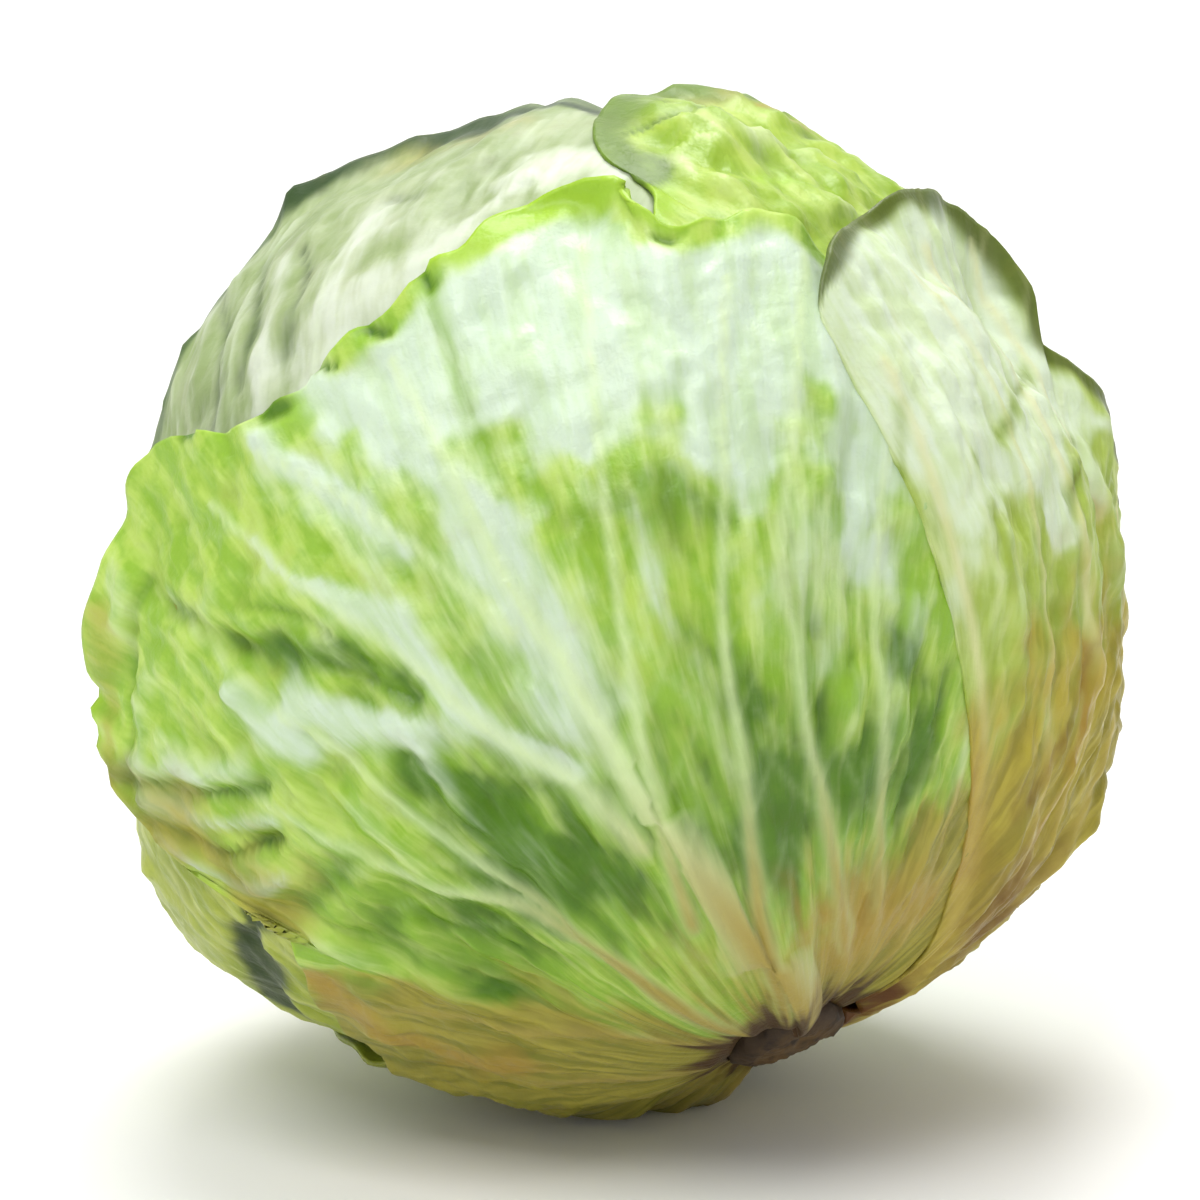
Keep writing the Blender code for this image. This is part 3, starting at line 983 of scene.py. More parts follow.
@dataclass
class VeinNetwork:
    """The ribs of one leaf and the finer veins that branch from them, as search trees of their points.

    Lengths in the pattern are in degrees of arc, widths in metres, and angles are those of twigs off ribs.
    """

    leaf: WrapperLeaf
    arc: float
    rng: np.random.Generator
    curve_steps: int = 10
    taper: float = 2.2
    side_spread: float = 0.92
    side_reach: tuple[float, float] = (0.93, 0.99)
    side_widths: tuple[float, float] = (0.0011, 0.0017)
    side_tip: float = 0.0005
    line_points: int = 24
    first_twig: tuple[int, int] = (15, 30)
    twig_gap: tuple[int, int] = (9, 20)
    twig_length: tuple[float, float] = (7.0, 14.0)
    twig_angle: tuple[float, float] = (32.0, 50.0)
    twig_bend: float = 0.55
    twig_width: float = 0.0006
    stout_width: float = 0.0020
    stoutest: float = 1.8

    def __post_init__(self) -> None:
        """Draws the veins."""
        veins = self.leaf.veins
        lines = [(smooth_curve(vein.path, self.curve_steps), vein.thick, vein.fine) for vein in veins]
        lines += self.side_ribs()
        points, widths, twigs = [], [], []
        for curve, thick, fine in lines:
            line = resample(flat_point(*curve.T))
            points.append(line)
            widths.append(fine + (thick - fine) * np.linspace(1.0, 0.0, len(line)) ** self.taper)
            twigs += self.twigs(line)
        self.rib_widths = np.concatenate(widths)
        self.rib_tree = tree_of(np.vstack(points))
        self.twig_tree = tree_of(np.vstack(twigs))

    def side_ribs(self) -> list[tuple[np.ndarray, float, float]]:
        """Ribs that leave the stem beside the midrib and spread to the rim.

        Returns:
            Each rib's curve in (bearing, reach), and its half width at each end.
        """
        made = []
        leaf, rng = self.leaf, self.rng
        t = np.linspace(0.0, 1.0, self.line_points)
        low, high = leaf.rim[0][0] * self.side_spread, leaf.rim[-1][0] * self.side_spread
        for target in np.linspace(low, high, leaf.side_ribs) if leaf.side_ribs else ():
            aim = target + rng.uniform(-2.0, 2.0)
            far = leaf.rim_reach(aim) * rng.uniform(*self.side_reach)
            bearing = aim * (0.35 + 0.65 * t**0.6) + rng.uniform(-1.5, 1.5) * np.sin(math.pi * t)
            reach = leaf.base_reach + (far - leaf.base_reach) * t
            made.append((np.column_stack((bearing, reach)), rng.uniform(*self.side_widths), self.side_tip))
        return made

    def twigs(self, line: np.ndarray) -> list[np.ndarray]:
        """Finer veins that branch off a rib to both sides and bend towards the rim.

        Args:
            line: the rib's points, LINE_STEP apart.

        Returns:
            The points of each finer vein.
        """
        rng = self.rng
        made, side, place = [], 1.0, int(rng.uniform(*self.first_twig))
        t = np.linspace(0.0, 1.0, self.line_points)[1:]
        while place < len(line) - 2:
            ahead = line[min(place + 3, len(line) - 1)] - line[place]
            heading = math.atan2(ahead[0], ahead[1])
            length = rng.uniform(*self.twig_length)
            turn = heading + side * np.radians(rng.uniform(*self.twig_angle)) * (1.0 - self.twig_bend * t)
            steps = np.column_stack((np.sin(turn), np.cos(turn))) * length / len(t)
            made.append(line[place] + np.cumsum(steps, axis=0))
            side = -side
            place += int(rng.uniform(*self.twig_gap))
        return made

    def ridges(self, flat: np.ndarray) -> tuple[np.ndarray, np.ndarray, np.ndarray, np.ndarray]:
        """How the veins stand out at flat points.

        Args:
            flat: points of the pattern, one a row.

        Returns:
            The ribs' profile from 0 to 1, how stout the nearest rib is, the finer veins' profile, and the
            distance to the nearest vein in metres.
        """
        index, away = nearest(self.rib_tree, flat)
        away = away * self.arc
        width = self.rib_widths[index]
        twig_away = nearest(self.twig_tree, flat)[1] * self.arc
        stout = np.minimum(width / self.stout_width, self.stoutest)
        vein_distance = np.minimum(np.maximum(away - width, 0.0), twig_away)
        return bell(away / width), stout, bell(twig_away / self.twig_width), vein_distance


@dataclass
class LeafPiece:
    """Builds the mesh of one wrapper leaf on the head, with its relief and its zones.

    Heights, widths and distances from the margin are in metres, reaches and bearings in degrees. A pair that
    says how something grows holds the reach where it starts and the degrees over which it does.
    """

    head: Head
    index: int
    blade: float = 0.0008
    row_crowding: float = 0.35
    rim_width: float = 0.0150
    frill_width: float = 0.0075
    tuck_width: float = 0.0140
    calm_width: float = 0.0080
    smooth_margin: float = 0.0070
    rim_grows: tuple[float, float] = (25.0, 20.0)
    frill_grows: tuple[float, float] = (30.0, 15.0)
    blisters_grow: tuple[float, float] = (14.0, 26.0)
    ridge_highlight_grows: tuple[float, float] = (30.0, 35.0)
    rib_height: float = 0.0009
    twig_height: float = 0.00025
    puff_height: float = 0.0008
    puff_width: float = 0.0019
    deepest_dent: float = 0.0005
    curl_radius: float = 0.0034
    deepest_tuck: float = 0.0020
    cell_window: int = 9
    streak_steps: int = 8
    # Noise cells in a degree of bearing and in one of reach: streaks about 2 mm wide and 20 mm long
    streak_scale: tuple[float, float] = (0.55, 0.07)
    drift_size: float = 0.030
    frill_size: float = 0.020
    uneven_size: float = 0.026
    pleat_size: float = 9.5
    crinkle_size: float = 3.4
    ragged_size: float = 6.0
    # Painted light from the relief: a highlight on the ridges of crinkles and pleats, shade in their hollows
    ridge_painted_highlight: float = 0.34
    hollow_painted_shade: float = 0.26
    darkest: float = 0.88
    browned_and_shade_reach: float = 19.0
    aged_rib_reach: float = 52.0

    def __post_init__(self) -> None:
        """Draws the leaf's grid and reads what its relief and zones need."""
        self.leaf = leaf = self.head.leaves[self.index]
        self.bm = bmesh.new()
        bmesh.ops.create_grid(self.bm, x_segments=leaf.columns, y_segments=leaf.rows, size=0.5)
        grid = np.array([vert.co[:] for vert in self.bm.verts]) + 0.5
        self.shape = (leaf.rows + 1, leaf.columns + 1)
        self.u, v = grid[:, 0], grid[:, 1]
        self.flat = leaf.fan(self.u, v + self.row_crowding * v * (1.0 - v))
        self.metres = self.flat * self.head.arc
        self.reach = np.hypot(self.flat[:, 0], self.flat[:, 1])
        self.bearing = np.degrees(np.arctan2(self.flat[:, 0], self.flat[:, 1]))
        self.directions = leaf.wrap(self.flat)
        margin = tree_of(resample(leaf.free_margin()))
        self.edge = nearest(margin, self.flat)[1] * self.head.arc
        self.over = self.head.over(self.index, self.directions)
        self.free = (1.0 - self.over) * (1.0 - self.head.pressed(self.directions))
        network = VeinNetwork(leaf, self.head.arc, np.random.default_rng(RANDOM_SEED + self.index))
        self.rib, self.stout, self.twig, self.vein_distance = network.ridges(self.flat)
        swayed = self.along_ribs(0.30) + 2.0 * np.sin(self.reach / 9.0)[:, None]
        self.pleat = wobble(swayed, self.pleat_size, 2, Seed.PLEAT.value + self.index)
        self.crinkle = wobble(self.along_ribs(0.42), self.crinkle_size, 3, Seed.CRINKLE.value + self.index)
        self.ragged = wobble(self.along_ribs(0.6), self.ragged_size, 3, Seed.RAGGED.value)
        self.streaks = self.streak_shares()
        self.tucked = read_curve(leaf.tuck, self.u)
        self.square = self.cell_shape()

    def along_ribs(self, squeeze: float) -> np.ndarray:
        """Places for a noise whose features are drawn out along the ribs, by one over the squeeze."""
        return np.column_stack((self.bearing, self.reach * squeeze))

    def beyond(self, start: float, width: float) -> np.ndarray:
        """0 up to a reach, and 1 from a width farther out."""
        return smooth_step((self.reach - start) / width)

    def cell_shape(self) -> np.ndarray:
        """How square the grid's cells are, evened out over a window of columns.

        Returns:
            1 where they are near square, and towards 0 beside a notch, where they are slivers.
        """
        along = np.abs(np.gradient(self.reach.reshape(self.shape), axis=1)).ravel()
        across = np.abs(np.gradient(self.bearing.reshape(self.shape), axis=1)).ravel()
        square = smooth_step(across * np.sin(np.radians(self.reach)) / (0.25 * along + 1e-6))
        side = self.cell_window // 2
        spread = np.pad(square.reshape(self.shape), ((0, 0), (side, side)), mode="edge")
        moved = (spread[:, shift:shift + self.shape[1]] for shift in range(self.cell_window))
        return sum(moved).ravel() / self.cell_window

    def streak_shares(self) -> list[tuple[Streak, np.ndarray]]:
        """How near the leaf's points are to its streaks.

        Returns:
            Each streak with a share for each point, 1 on its line and 0 well away.
        """
        made = []
        for streak in self.leaf.streaks:
            line = resample(flat_point(*smooth_curve(streak.path, self.streak_steps).T))
            away = nearest(tree_of(line), self.flat)[1] * self.head.arc
            width = streak.width * np.maximum(1.0 + 0.5 * self.ragged, 0.35)
            made.append((streak, bell(away / width)))
        return made

    def margin_wave(self) -> np.ndarray:
        """Height of the rim's flare, of its slow waves and of its frill, less that of its tucks.

        Returns:
            Metres for each point.
        """
        leaf, head = self.leaf, self.head
        rim = np.clip(1.0 - self.edge / self.rim_width, 0.0, 1.0) ** 1.5 * self.beyond(*self.rim_grows)
        _, place, length = leaf.rim_curve()
        along = np.interp(self.u, place, length) * head.arc
        drift = wobble(along[:, None], self.drift_size, 2, Seed.DRIFT.value + self.index)
        ripple = 0.5 + 0.5 * np.cos(2.0 * math.pi * (leaf.waves * self.u + 0.6 * drift))
        phase = 2.0 * math.pi * (along / leaf.frill_length + 0.9 * drift)
        tight = np.clip(1.0 - self.edge / self.frill_width, 0.0, 1.0) ** 1.3 * self.beyond(*self.frill_grows)
        size = 0.7 + 0.6 * wobble(along[:, None], self.frill_size, 2, Seed.FRILL.value + self.index)
        frill = leaf.frill * size * (0.5 + np.sin(phase)) * tight
        flare = read_curve(leaf.flare, self.u)
        tuck = self.deepest_tuck * self.tucked * smooth_step(1.0 - self.edge / self.tuck_width)
        return ((flare + leaf.wave * ripple) * rim + frill) * (1.0 - self.tucked) - tuck

    def blade_relief(self) -> np.ndarray:
        """Height of the ribs, of the blisters between veins, of the folds and of the blade's unevenness.

        Returns:
            Metres for each point.
        """
        leaf = self.leaf
        puff = 1.0 - bell(self.vein_distance / self.puff_width)
        swell = self.puff_height * puff * (0.4 + 0.5 * self.crinkle) + leaf.crinkle * self.crinkle
        uneven = leaf.undulation * wobble(self.metres, self.uneven_size, 2, Seed.UNEVEN.value + self.index)
        uneven = np.maximum(uneven + leaf.pleat * self.pleat, -self.deepest_dent)
        ribs = self.rib_height * self.rib * self.stout + self.twig_height * self.twig
        folds = sum(streak.height * share for streak, share in self.streaks)
        grow = self.beyond(*self.blisters_grow)
        calm = 1.0 - self.tucked * smooth_step(1.5 - self.edge / self.calm_width)
        inner = smooth_step(self.edge / self.smooth_margin)
        near = (swell * grow * inner + ribs) * (1.0 - 0.6 * self.over)
        return (near + (uneven * grow + folds) * self.free) * calm * self.square

    def curled(self, points: np.ndarray) -> np.ndarray:
        """Rolls the margin outwards where the leaf's curl says so.

        Args:
            points: the sheet's points before it curls.

        Returns:
            The points after it.
        """
        strip = read_curve(self.leaf.curl, self.u) * self.free
        past = np.maximum(strip - self.edge, 0.0)
        if not past.any():
            return points
        grid = points.reshape(*self.shape, 3)
        edge = self.edge.reshape(self.shape)
        by_v, by_u = np.gradient(grid, axis=0), np.gradient(grid, axis=1)
        edge_v, edge_u = np.gradient(edge, axis=0), np.gradient(edge, axis=1)
        uu, uv, vv = (by_u * by_u).sum(-1), (by_u * by_v).sum(-1), (by_v * by_v).sum(-1)
        spread = np.maximum(uu * vv - uv * uv, 1e-16)
        slope = ((vv * edge_u - uv * edge_v) / spread)[..., None] * by_u
        slope += ((uu * edge_v - uv * edge_u) / spread)[..., None] * by_v
        outward = -slope / np.maximum(np.linalg.norm(slope, axis=-1, keepdims=True), 1e-9)
        normal = np.cross(by_u, by_v)
        normal /= np.maximum(np.linalg.norm(normal, axis=-1, keepdims=True), 1e-12)
        angle = (past / self.curl_radius)[:, None]
        shift = outward.reshape(-1, 3) * (self.curl_radius * np.sin(angle) - past[:, None])
        return points + shift + normal.reshape(-1, 3) * self.curl_radius * (1.0 - np.cos(angle))

    def zones(self) -> dict[Zone, np.ndarray]:
        """How strongly the leaf's points belong to each zone.

        Returns:
            A share from 0 to 1 for each point, by zone.
        """
        bleached, lift = self.bleached(), 0.6 * (self.crinkle + 0.5 * self.pleat)
        # Paler ridges are a painted highlight, and darker hollows a painted shade
        ridges = self.ridge_painted_highlight * smooth_step(lift + 0.10) * self.beyond(*self.ridge_highlight_grows)
        hollows = self.hollow_painted_shade * smooth_step(0.20 - lift) * (1.0 - 0.85 * bleached)
        made = {zone: np.zeros(len(self.u)) for zone in Zone}
        made[Zone.RIB] = np.clip(self.rib * (0.45 + 0.35 * self.stout) + 0.12 * self.twig, 0.0, 1.0)
        made[Zone.RIM] = self.rim_share()
        made[Zone.PALE] = np.maximum(bleached, ridges)
        made[Zone.DARK] = hollows * smooth_step((self.edge - 0.0030) / 0.0040)
        made[Zone.AGED_AND_SHADE] = self.aged_and_shade_share()
        # Browned at the stem, which is also painted shade of the head's underside
        made[Zone.BROWNED_AND_SHADE] = smooth_step((self.browned_and_shade_reach - self.reach + 3.0 * self.ragged) / 9.0)
        self.add_patches(made)
        self.add_streaks(made)
        return made

    def rim_share(self) -> np.ndarray:
        """The coloured band along the rim.

        Returns:
            A share from 0 to 1 for each point.
        """
        band = read_curve(self.leaf.rim_band, self.u)
        depth = np.maximum(band * (1.0 + 0.4 * self.ragged), 0.0002)
        return 0.85 * smooth_step(1.5 - self.edge / depth) * smooth_step(band / 0.0006)

    def bleached(self) -> np.ndarray:
        """The whitish outer blade, past the leaf's pale floor and clear of its margin.

        Returns:
            A share from 0 to 1 for each point.
        """
        if not self.leaf.pale_floor:
            return np.zeros(len(self.u))
        floor = read_curve(self.leaf.pale_floor, self.bearing)
        share = smooth_step((self.reach - floor + 5.5 * self.ragged) / 11.0 + 0.5)
        margin = read_curve(self.leaf.pale_edge, self.u) * (1.0 + 0.3 * self.ragged)
        return share * smooth_step((self.edge - margin) / 0.0050 + 0.5)

    def aged_and_shade_share(self) -> np.ndarray:
        """The aged tissue near the stem, which runs farther out along the ribs. It is also painted shade of
        the head's lower side, round the stem.

        Returns:
            A share from 0 to 1 for each point.
        """
        limit = read_curve(self.leaf.aged_and_shade_limit, self.bearing)
        blade = smooth_step((limit - self.reach + 6.0 * self.ragged) / 22.0 + 0.5)
        return np.maximum(blade, self.rib * smooth_step((self.aged_rib_reach - self.reach) / 28.0))

    def add_patches(self, made: dict[Zone, np.ndarray]) -> None:
        """Adds the leaf's patches to its zones.

        Args:
            made: the shares of the zones, which change here.
        """
        for patch in self.leaf.patches:
            turn = math.radians(patch.bearing)
            x, y = (self.flat - flat_point(np.array(patch.bearing), np.array(patch.reach))).T
            across = (x * math.cos(turn) - y * math.sin(turn)) / patch.across
            along = (x * math.sin(turn) + y * math.cos(turn)) / patch.along
            spot = np.exp(-(across**2 + along**2) * np.clip(1.0 + 0.6 * self.ragged, 0.5, 2.0))
            made[patch.zone] = np.clip(made[patch.zone] + 0.8 * patch.strength * spot, 0.0, 1.0)
        made[Zone.DARK] = np.minimum(made[Zone.DARK], self.darkest)

    def add_streaks(self, made: dict[Zone, np.ndarray]) -> None:
        """Adds the leaf's streaks to its zones. A dark one takes away what is pale under it.

        Args:
            made: the shares of the zones, which change here.
        """
        for streak, share in self.streaks:
            made[streak.zone] = np.clip(made[streak.zone] + streak.strength * share, 0.0, 1.0)
            if streak.zone is Zone.DARK:
                for hidden in (Zone.PALE, Zone.RIM, Zone.RIB):
                    made[hidden] *= np.maximum(1.0 - streak.strength * share, 0.0)

    def build(self) -> bpy.types.Object:
        """Makes the leaf: shapes its sheet, stores its zones and gives it its thickness and finish.

        Returns:
            The piece.
        """
        height = self.margin_wave() * self.free + self.blade_relief()
        radius = self.head.layer_radius(self.index, self.directions) + self.head.leaf_thickness + height
        points = self.curled(self.head.place(self.directions, radius))
        piece = add_piece(f"{self.leaf.name}_blade", self.bm, points)
        for zone, share in self.zones().items():
            store(piece.data, zone.value, share)
        across, along = self.streak_scale
        streaks = np.column_stack((self.bearing * across, self.reach * along, np.zeros(len(self.u))))
        store(piece.data, RADIAL, streaks)
        store_pattern(piece.data, self.metres / PATTERN_SPAN + 0.5)
        piece.data.materials.append(self.leaf.finish.material())
        solid = piece.modifiers.new("thickness", "SOLIDIFY")
        solid.thickness, solid.offset, solid.use_rim = self.blade, -1.0, True
        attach(piece, BODY)
        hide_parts(self.leaf.name)
        return piece


@dataclass(frozen=True)
class InnerLeaf:
    """A leaf of the heart: its middle, theta degrees from the stem and phi round it, and its half width."""

    theta: float
    phi: float
    half: float


@dataclass
class Heart:
    """The dense inner head, stepped where the edges of its inner leaves lie."""

    head: Head
    finish: LeafFinish
    step: float = 0.0017
    edge_angle: float = 3.0
    edge_wobble: float = 0.25
    rib_height: float = 0.0004
    rib_size: float = 0.12
    streak_scale: tuple[float, float] = (40.0, 0.16)
    subdivisions: int = 6
    inner_leaves: tuple[InnerLeaf, ...] = (
        InnerLeaf(105.0, -160.0, 78.0),
        InnerLeaf(105.0, 80.0, 72.0),
        InnerLeaf(105.0, -40.0, 76.0),
        InnerLeaf(60.0, 140.0, 70.0),
    )

    def build(self) -> bpy.types.Object:
        """Makes the heart as a ball of overlapped leaf edges with fine ribs.

        Returns:
            The piece.
        """
        bm = bmesh.new()
        bmesh.ops.create_icosphere(bm, subdivisions=self.subdivisions, radius=1.0)
        directions = np.array([vert.co[:] for vert in bm.verts])
        directions /= np.linalg.norm(directions, axis=1)[:, None]
        radius = self.head.radius(directions)
        rim = np.zeros(len(directions))
        for leaf in self.inner_leaves:
            past = angle_between(directions, from_stem(leaf.theta, leaf.phi)) - leaf.half
            past += self.edge_angle * wobble(directions, self.edge_wobble, 2, leaf.theta)
            radius -= self.step * smooth_step(past / self.edge_angle)
            rim = np.maximum(rim, bell(past / self.edge_angle))
        phi = np.arctan2(directions[:, 1], directions[:, 0])
        theta = angle_between(directions, from_stem(0.0, 0.0))
        around = np.column_stack((np.cos(phi), np.sin(phi)))
        ribs = wobble(np.column_stack((around, theta * 0.004)), self.rib_size)
        radius += self.rib_height * ribs * smooth_step(theta / 20.0)
        piece = add_piece("heart_core", bm, self.head.place(directions, radius))
        values = {zone: np.zeros(len(directions)) for zone in Zone}
        values[Zone.PALE] = 0.5 + 0.5 * smooth_step((80.0 - theta) / 60.0)
        values[Zone.RIM] = 0.6 * rim
        values[Zone.RIB] = smooth_step(ribs * 2.0 - 0.4) * 0.6
        # Browned at the stem, which is also painted shade of the underside there
        values[Zone.BROWNED_AND_SHADE] = smooth_step((18.0 - theta) / 8.0)
        for zone, share in values.items():
            store(piece.data, zone.value, share)
        across, along = self.streak_scale
        store(piece.data, RADIAL, np.column_stack((around * across, theta * along)))
        store_pattern(piece.data, np.column_stack((phi / (2.0 * math.pi) + 0.5, theta / 180.0)))
        piece.data.materials.append(self.finish.material())
        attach(piece, BODY)
        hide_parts("heart")
        return piece


@dataclass
class Stem:
    """The cut butt: a short column, chamfered where the knife left it, with a dried uneven face."""

    head: Head
    finish: StemFinish
    radius: float = 0.0095
    length: float = 0.0032
    chamfer: float = 0.0022
    chamfer_depth: float = 0.0014
    dome: float = 0.0050
    dome_depth: float = 0.0004
    dome_rings: int = 4
    clear_angle: float = 11.5
    sides: int = 96
    roughness: float = 0.00045
    uneven_size: float = 0.004

    def build(self) -> bpy.types.Object:
        """Makes the stem from a cylinder whose cut face is inset, split fine and made uneven.

        Returns:
            The piece.
        """
        bm = bmesh.new()
        bmesh.ops.create_cone(
            bm,
            cap_ends=True,
            segments=self.sides,
            radius1=self.radius,
            radius2=self.radius,
            depth=self.length,
        )
        cut = [face for face in bm.faces if face.normal.z < -0.9]
        bmesh.ops.inset_region(bm, faces=cut, thickness=self.chamfer, depth=self.chamfer_depth)
        ring, rise = self.dome / self.dome_rings, self.dome_depth / self.dome_rings
        for _ in range(self.dome_rings):
            bmesh.ops.inset_region(bm, faces=cut, thickness=ring, depth=rise)
        bmesh.ops.subdivide_edges(bm, edges=bm.edges, cuts=2, use_grid_fill=True)
        bmesh.ops.recalc_face_normals(bm, faces=bm.faces)
        upright = np.array([vert.co[:] for vert in bm.verts])
        across = np.hypot(upright[:, 0], upright[:, 1])
        piece = add_piece("stem_butt", bm, self.placed(upright, across))
        store(piece.data, FROM_AXIS, across)
        piece.data.materials.append(self.finish.material())
        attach(piece, BODY)
        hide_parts("stem")
        return piece

    def placed(self, upright: np.ndarray, across: np.ndarray) -> np.ndarray:
        """Makes the stem's points uneven and sets them under the leaning leaf bases of the lying head.

        Args:
            upright: the points of the plain stem, one a row.
            across: how far each is from its axis.

        Returns:
            The points of the finished stem.
        """
        pole = float(self.head.radius(from_stem(self.clear_angle, 0.0)[None])[0])
        inner = pole * math.cos(math.radians(self.clear_angle)) + self.head.first_gap
        uneven = wobble(upright, self.uneven_size, 3, Seed.STEM.value) * self.roughness
        out = upright[:, :2] / np.maximum(across, 1e-6)[:, None]
        upright[:, :2] += out * (uneven * smooth_step(across / 0.006))[:, None]
        upright[:, 2] += uneven - inner - self.length / 2.0
        axis = self.head.leaning(from_stem(0.0, 0.0)[None])[0]
        side = np.cross(axis, from_stem(90.0, self.head.stem_lean_towards))
        side /= np.linalg.norm(side)
        return self.head.lay(upright @ np.column_stack((np.cross(side, axis), side, -axis)).T)


@dataclass(frozen=True)
class Lamp:
    """A soft square lamp that points at the head."""

    name: str
    place: tuple[float, float, float]
    side: float
    power: float


@dataclass
class Studio:
    """A plain pale floor, soft lamps and the camera at the photograph's angle."""

    centre: tuple[float, float, float]
    distance: float = 0.524
    elevation: float = 10.0
    focal: float = 100.0
    sensor: float = 36.0
    photo_pixels: float = 1200.0
    centre_pixel: tuple[float, float] = (612.0, 604.0)
    floor_colour: str = "#F2F2F0"
    floor_roughness: float = 0.9
    floor_rows: int = 160
    sweep_start: float = 0.45
    sweep_radius: float = 0.60
    sweep_size: float = 3.0
    sky: float = 0.40
    lamps: tuple[Lamp, ...] = (
        Lamp("key", (-0.25, -0.55, 0.95), 0.55, 6.5),
        Lamp("top", (0.15, 0.10, 1.05), 0.60, 2.4),
        Lamp("left", (-0.95, -0.45, 0.40), 0.60, 1.4),
        Lamp("right", (0.95, -0.35, 0.50), 0.60, 0.9),
        Lamp("sweep", (0.0, 0.55, 1.70), 0.80, 16.0),
    )

    def build(self) -> None:
        """Makes the floor, the lamps, the sky and the camera."""
        self.add_floor()
        self.add_lights()
        self.add_camera()

    def add_floor(self) -> None:
        """Makes a floor that sweeps up to a wall well behind the head."""
        bm = bmesh.new()
        bmesh.ops.create_grid(bm, x_segments=2, y_segments=self.floor_rows, size=self.sweep_size)
        for vert in bm.verts:
            past = max(vert.co.y - self.sweep_start, 0.0)
            turn = min(past / self.sweep_radius, math.pi / 2.0)
            rise = max(past - self.sweep_radius * math.pi / 2.0, 0.0)
            vert.co.z = self.sweep_radius * (1.0 - math.cos(turn)) + rise
            vert.co.y += self.sweep_radius * math.sin(turn) - past
        mesh = bpy.data.meshes.new("floor")
        bm.to_mesh(mesh)
        bm.free()
        # Matt white paint: no gloss, so that nothing but the soft shadow shows on it
        made = bpy.data.materials.new("matt_white_floor")
        made.use_nodes = True
        shader = made.node_tree.nodes["Principled BSDF"]
        shader.inputs["Base Color"].default_value = linear(self.floor_colour)
        shader.inputs["Roughness"].default_value = self.floor_roughness
        mesh.materials.append(made)
        floor = bpy.data.objects.new("floor", mesh)
        bpy.context.scene.collection.objects.link(floor)

    def add_lights(self) -> None:
        """Places the lamps and sets a plain white sky."""
        for lamp in self.lamps:
            light = bpy.data.lights.new(lamp.name, "AREA")
            light.size, light.energy = lamp.side, lamp.power
            obj = bpy.data.objects.new(lamp.name, light)
            obj.location = lamp.place
            aim = Vector(self.centre) - Vector(lamp.place)
            obj.rotation_euler = aim.to_track_quat("-Z", "Y").to_euler()
            bpy.context.scene.collection.objects.link(obj)
        world = bpy.data.worlds.new("studio")
        world.use_nodes = True
        background = world.node_tree.nodes["Background"]
        background.inputs["Color"].default_value = (1.0, 1.0, 1.0, 1.0)
        background.inputs["Strength"].default_value = self.sky
        bpy.context.scene.world = world
        bpy.context.scene.view_settings.view_transform = "Standard"

    def add_camera(self) -> None:
        """Places the camera so that the head's middle falls on its pixel in the photograph."""
        camera = bpy.data.cameras.new("camera")
        camera.lens, camera.sensor_width = self.focal, self.sensor
        half = self.photo_pixels / 2.0
        camera.shift_x = (half - self.centre_pixel[0]) / self.photo_pixels
        camera.shift_y = (self.centre_pixel[1] - half) / self.photo_pixels
        tilt = math.radians(self.elevation)
        back = Vector((0.0, -math.cos(tilt), math.sin(tilt)))
        obj = bpy.data.objects.new("camera", camera)
        obj.location = Vector(self.centre) + back * self.distance
        obj.rotation_euler = (-back).to_track_quat("-Z", "Y").to_euler()
        bpy.context.scene.collection.objects.link(obj)
        bpy.context.scene.camera = obj


# Outer blade in the light: bright green between pale ribs, whitish where it is thin
GREEN = LeafFinish("fresh_green_leaf")
# Outer blade that grew in shade: a duller, bluer green
BACK_GREEN = LeafFinish("shaded_green_leaf", blade="#A2C658", mottle="#7BA741", rim="#93BC3C")
# Inner blade that saw little light: greyish white tissue with a dark green rim, almost smooth
PALE = LeafFinish(
    "pale_inner_leaf",
    blade="#A0AE82",
    mottle="#8C9E68",
    dark="#2F461F",
    pale="#CAD2BE",
    pale_shade="#B8C2A2",
    streak="#B0BD94",
    rim="#3A5526",
    rib="#C8D4B4",
    relief=0.0004,
)
# Young crinkled blade: warm yellow-green, with painted highlights on its blisters and ridges
YELLOW_GREEN = LeafFinish(
    "frilled_yellow_green_leaf",
    blade="#A8C24C",
    mottle="#8EAE34",
    dark="#536E1E",
    pale="#C8DA98",
    pale_shade="#B4CC74",
    streak="#BED06E",
    rim="#98BE28",
    rib="#BFD284",
)
# Blade folded over the crown: a soft mid green
CROWN_GREEN = LeafFinish("mid_green_leaf", blade="#9ABB62", mottle="#769B48", rim="#86A850", dark="#5A7A3A")
# Side blade that has begun to age: olive and tan towards the stem, with a dark olive rim that is partly
# painted shade of the gap behind its upper lobe
OLIVE = LeafFinish(
    "olive_side_leaf",
    blade="#B0C65C",
    mottle="#98AE40",
    dark="#5E7A24",
    pale="#D4E2C6",
    pale_shade="#C9DAAC",
    streak="#CDD688",
    rim="#414E14",
    aged_and_shade="#8E8228",
    aged_and_shade_lighter="#B0A23A",
    tan="#A88430",
    rib="#D8D8A0",
    aged_and_shade_rib="#BCA850",
    browned_and_shade="#6A431E",
)
# Oldest blade, low on the head: dull olive all over, with a near-black green that is painted shade in the
# slit at the lower left
OLD_OLIVE = LeafFinish(
    "old_outer_leaf",
    blade="#A6B23C",
    mottle="#8A9A2C",
    dark="#2C3F16",
    pale="#BCC668",
    pale_shade="#AEBA54",
    streak="#B6C05A",
    rim="#7E8830",
    aged_and_shade="#7C7826",
    aged_and_shade_lighter="#98923A",
    tan="#94782E",
    rib="#C6CC84",
)
# Blanched leaves of the heart: cream with a hint of green
HEART = LeafFinish("heart_leaf", blade="#D3E2A4", mottle="#BBD07E", rim="#B9D26B", pale="#EEF3DC")

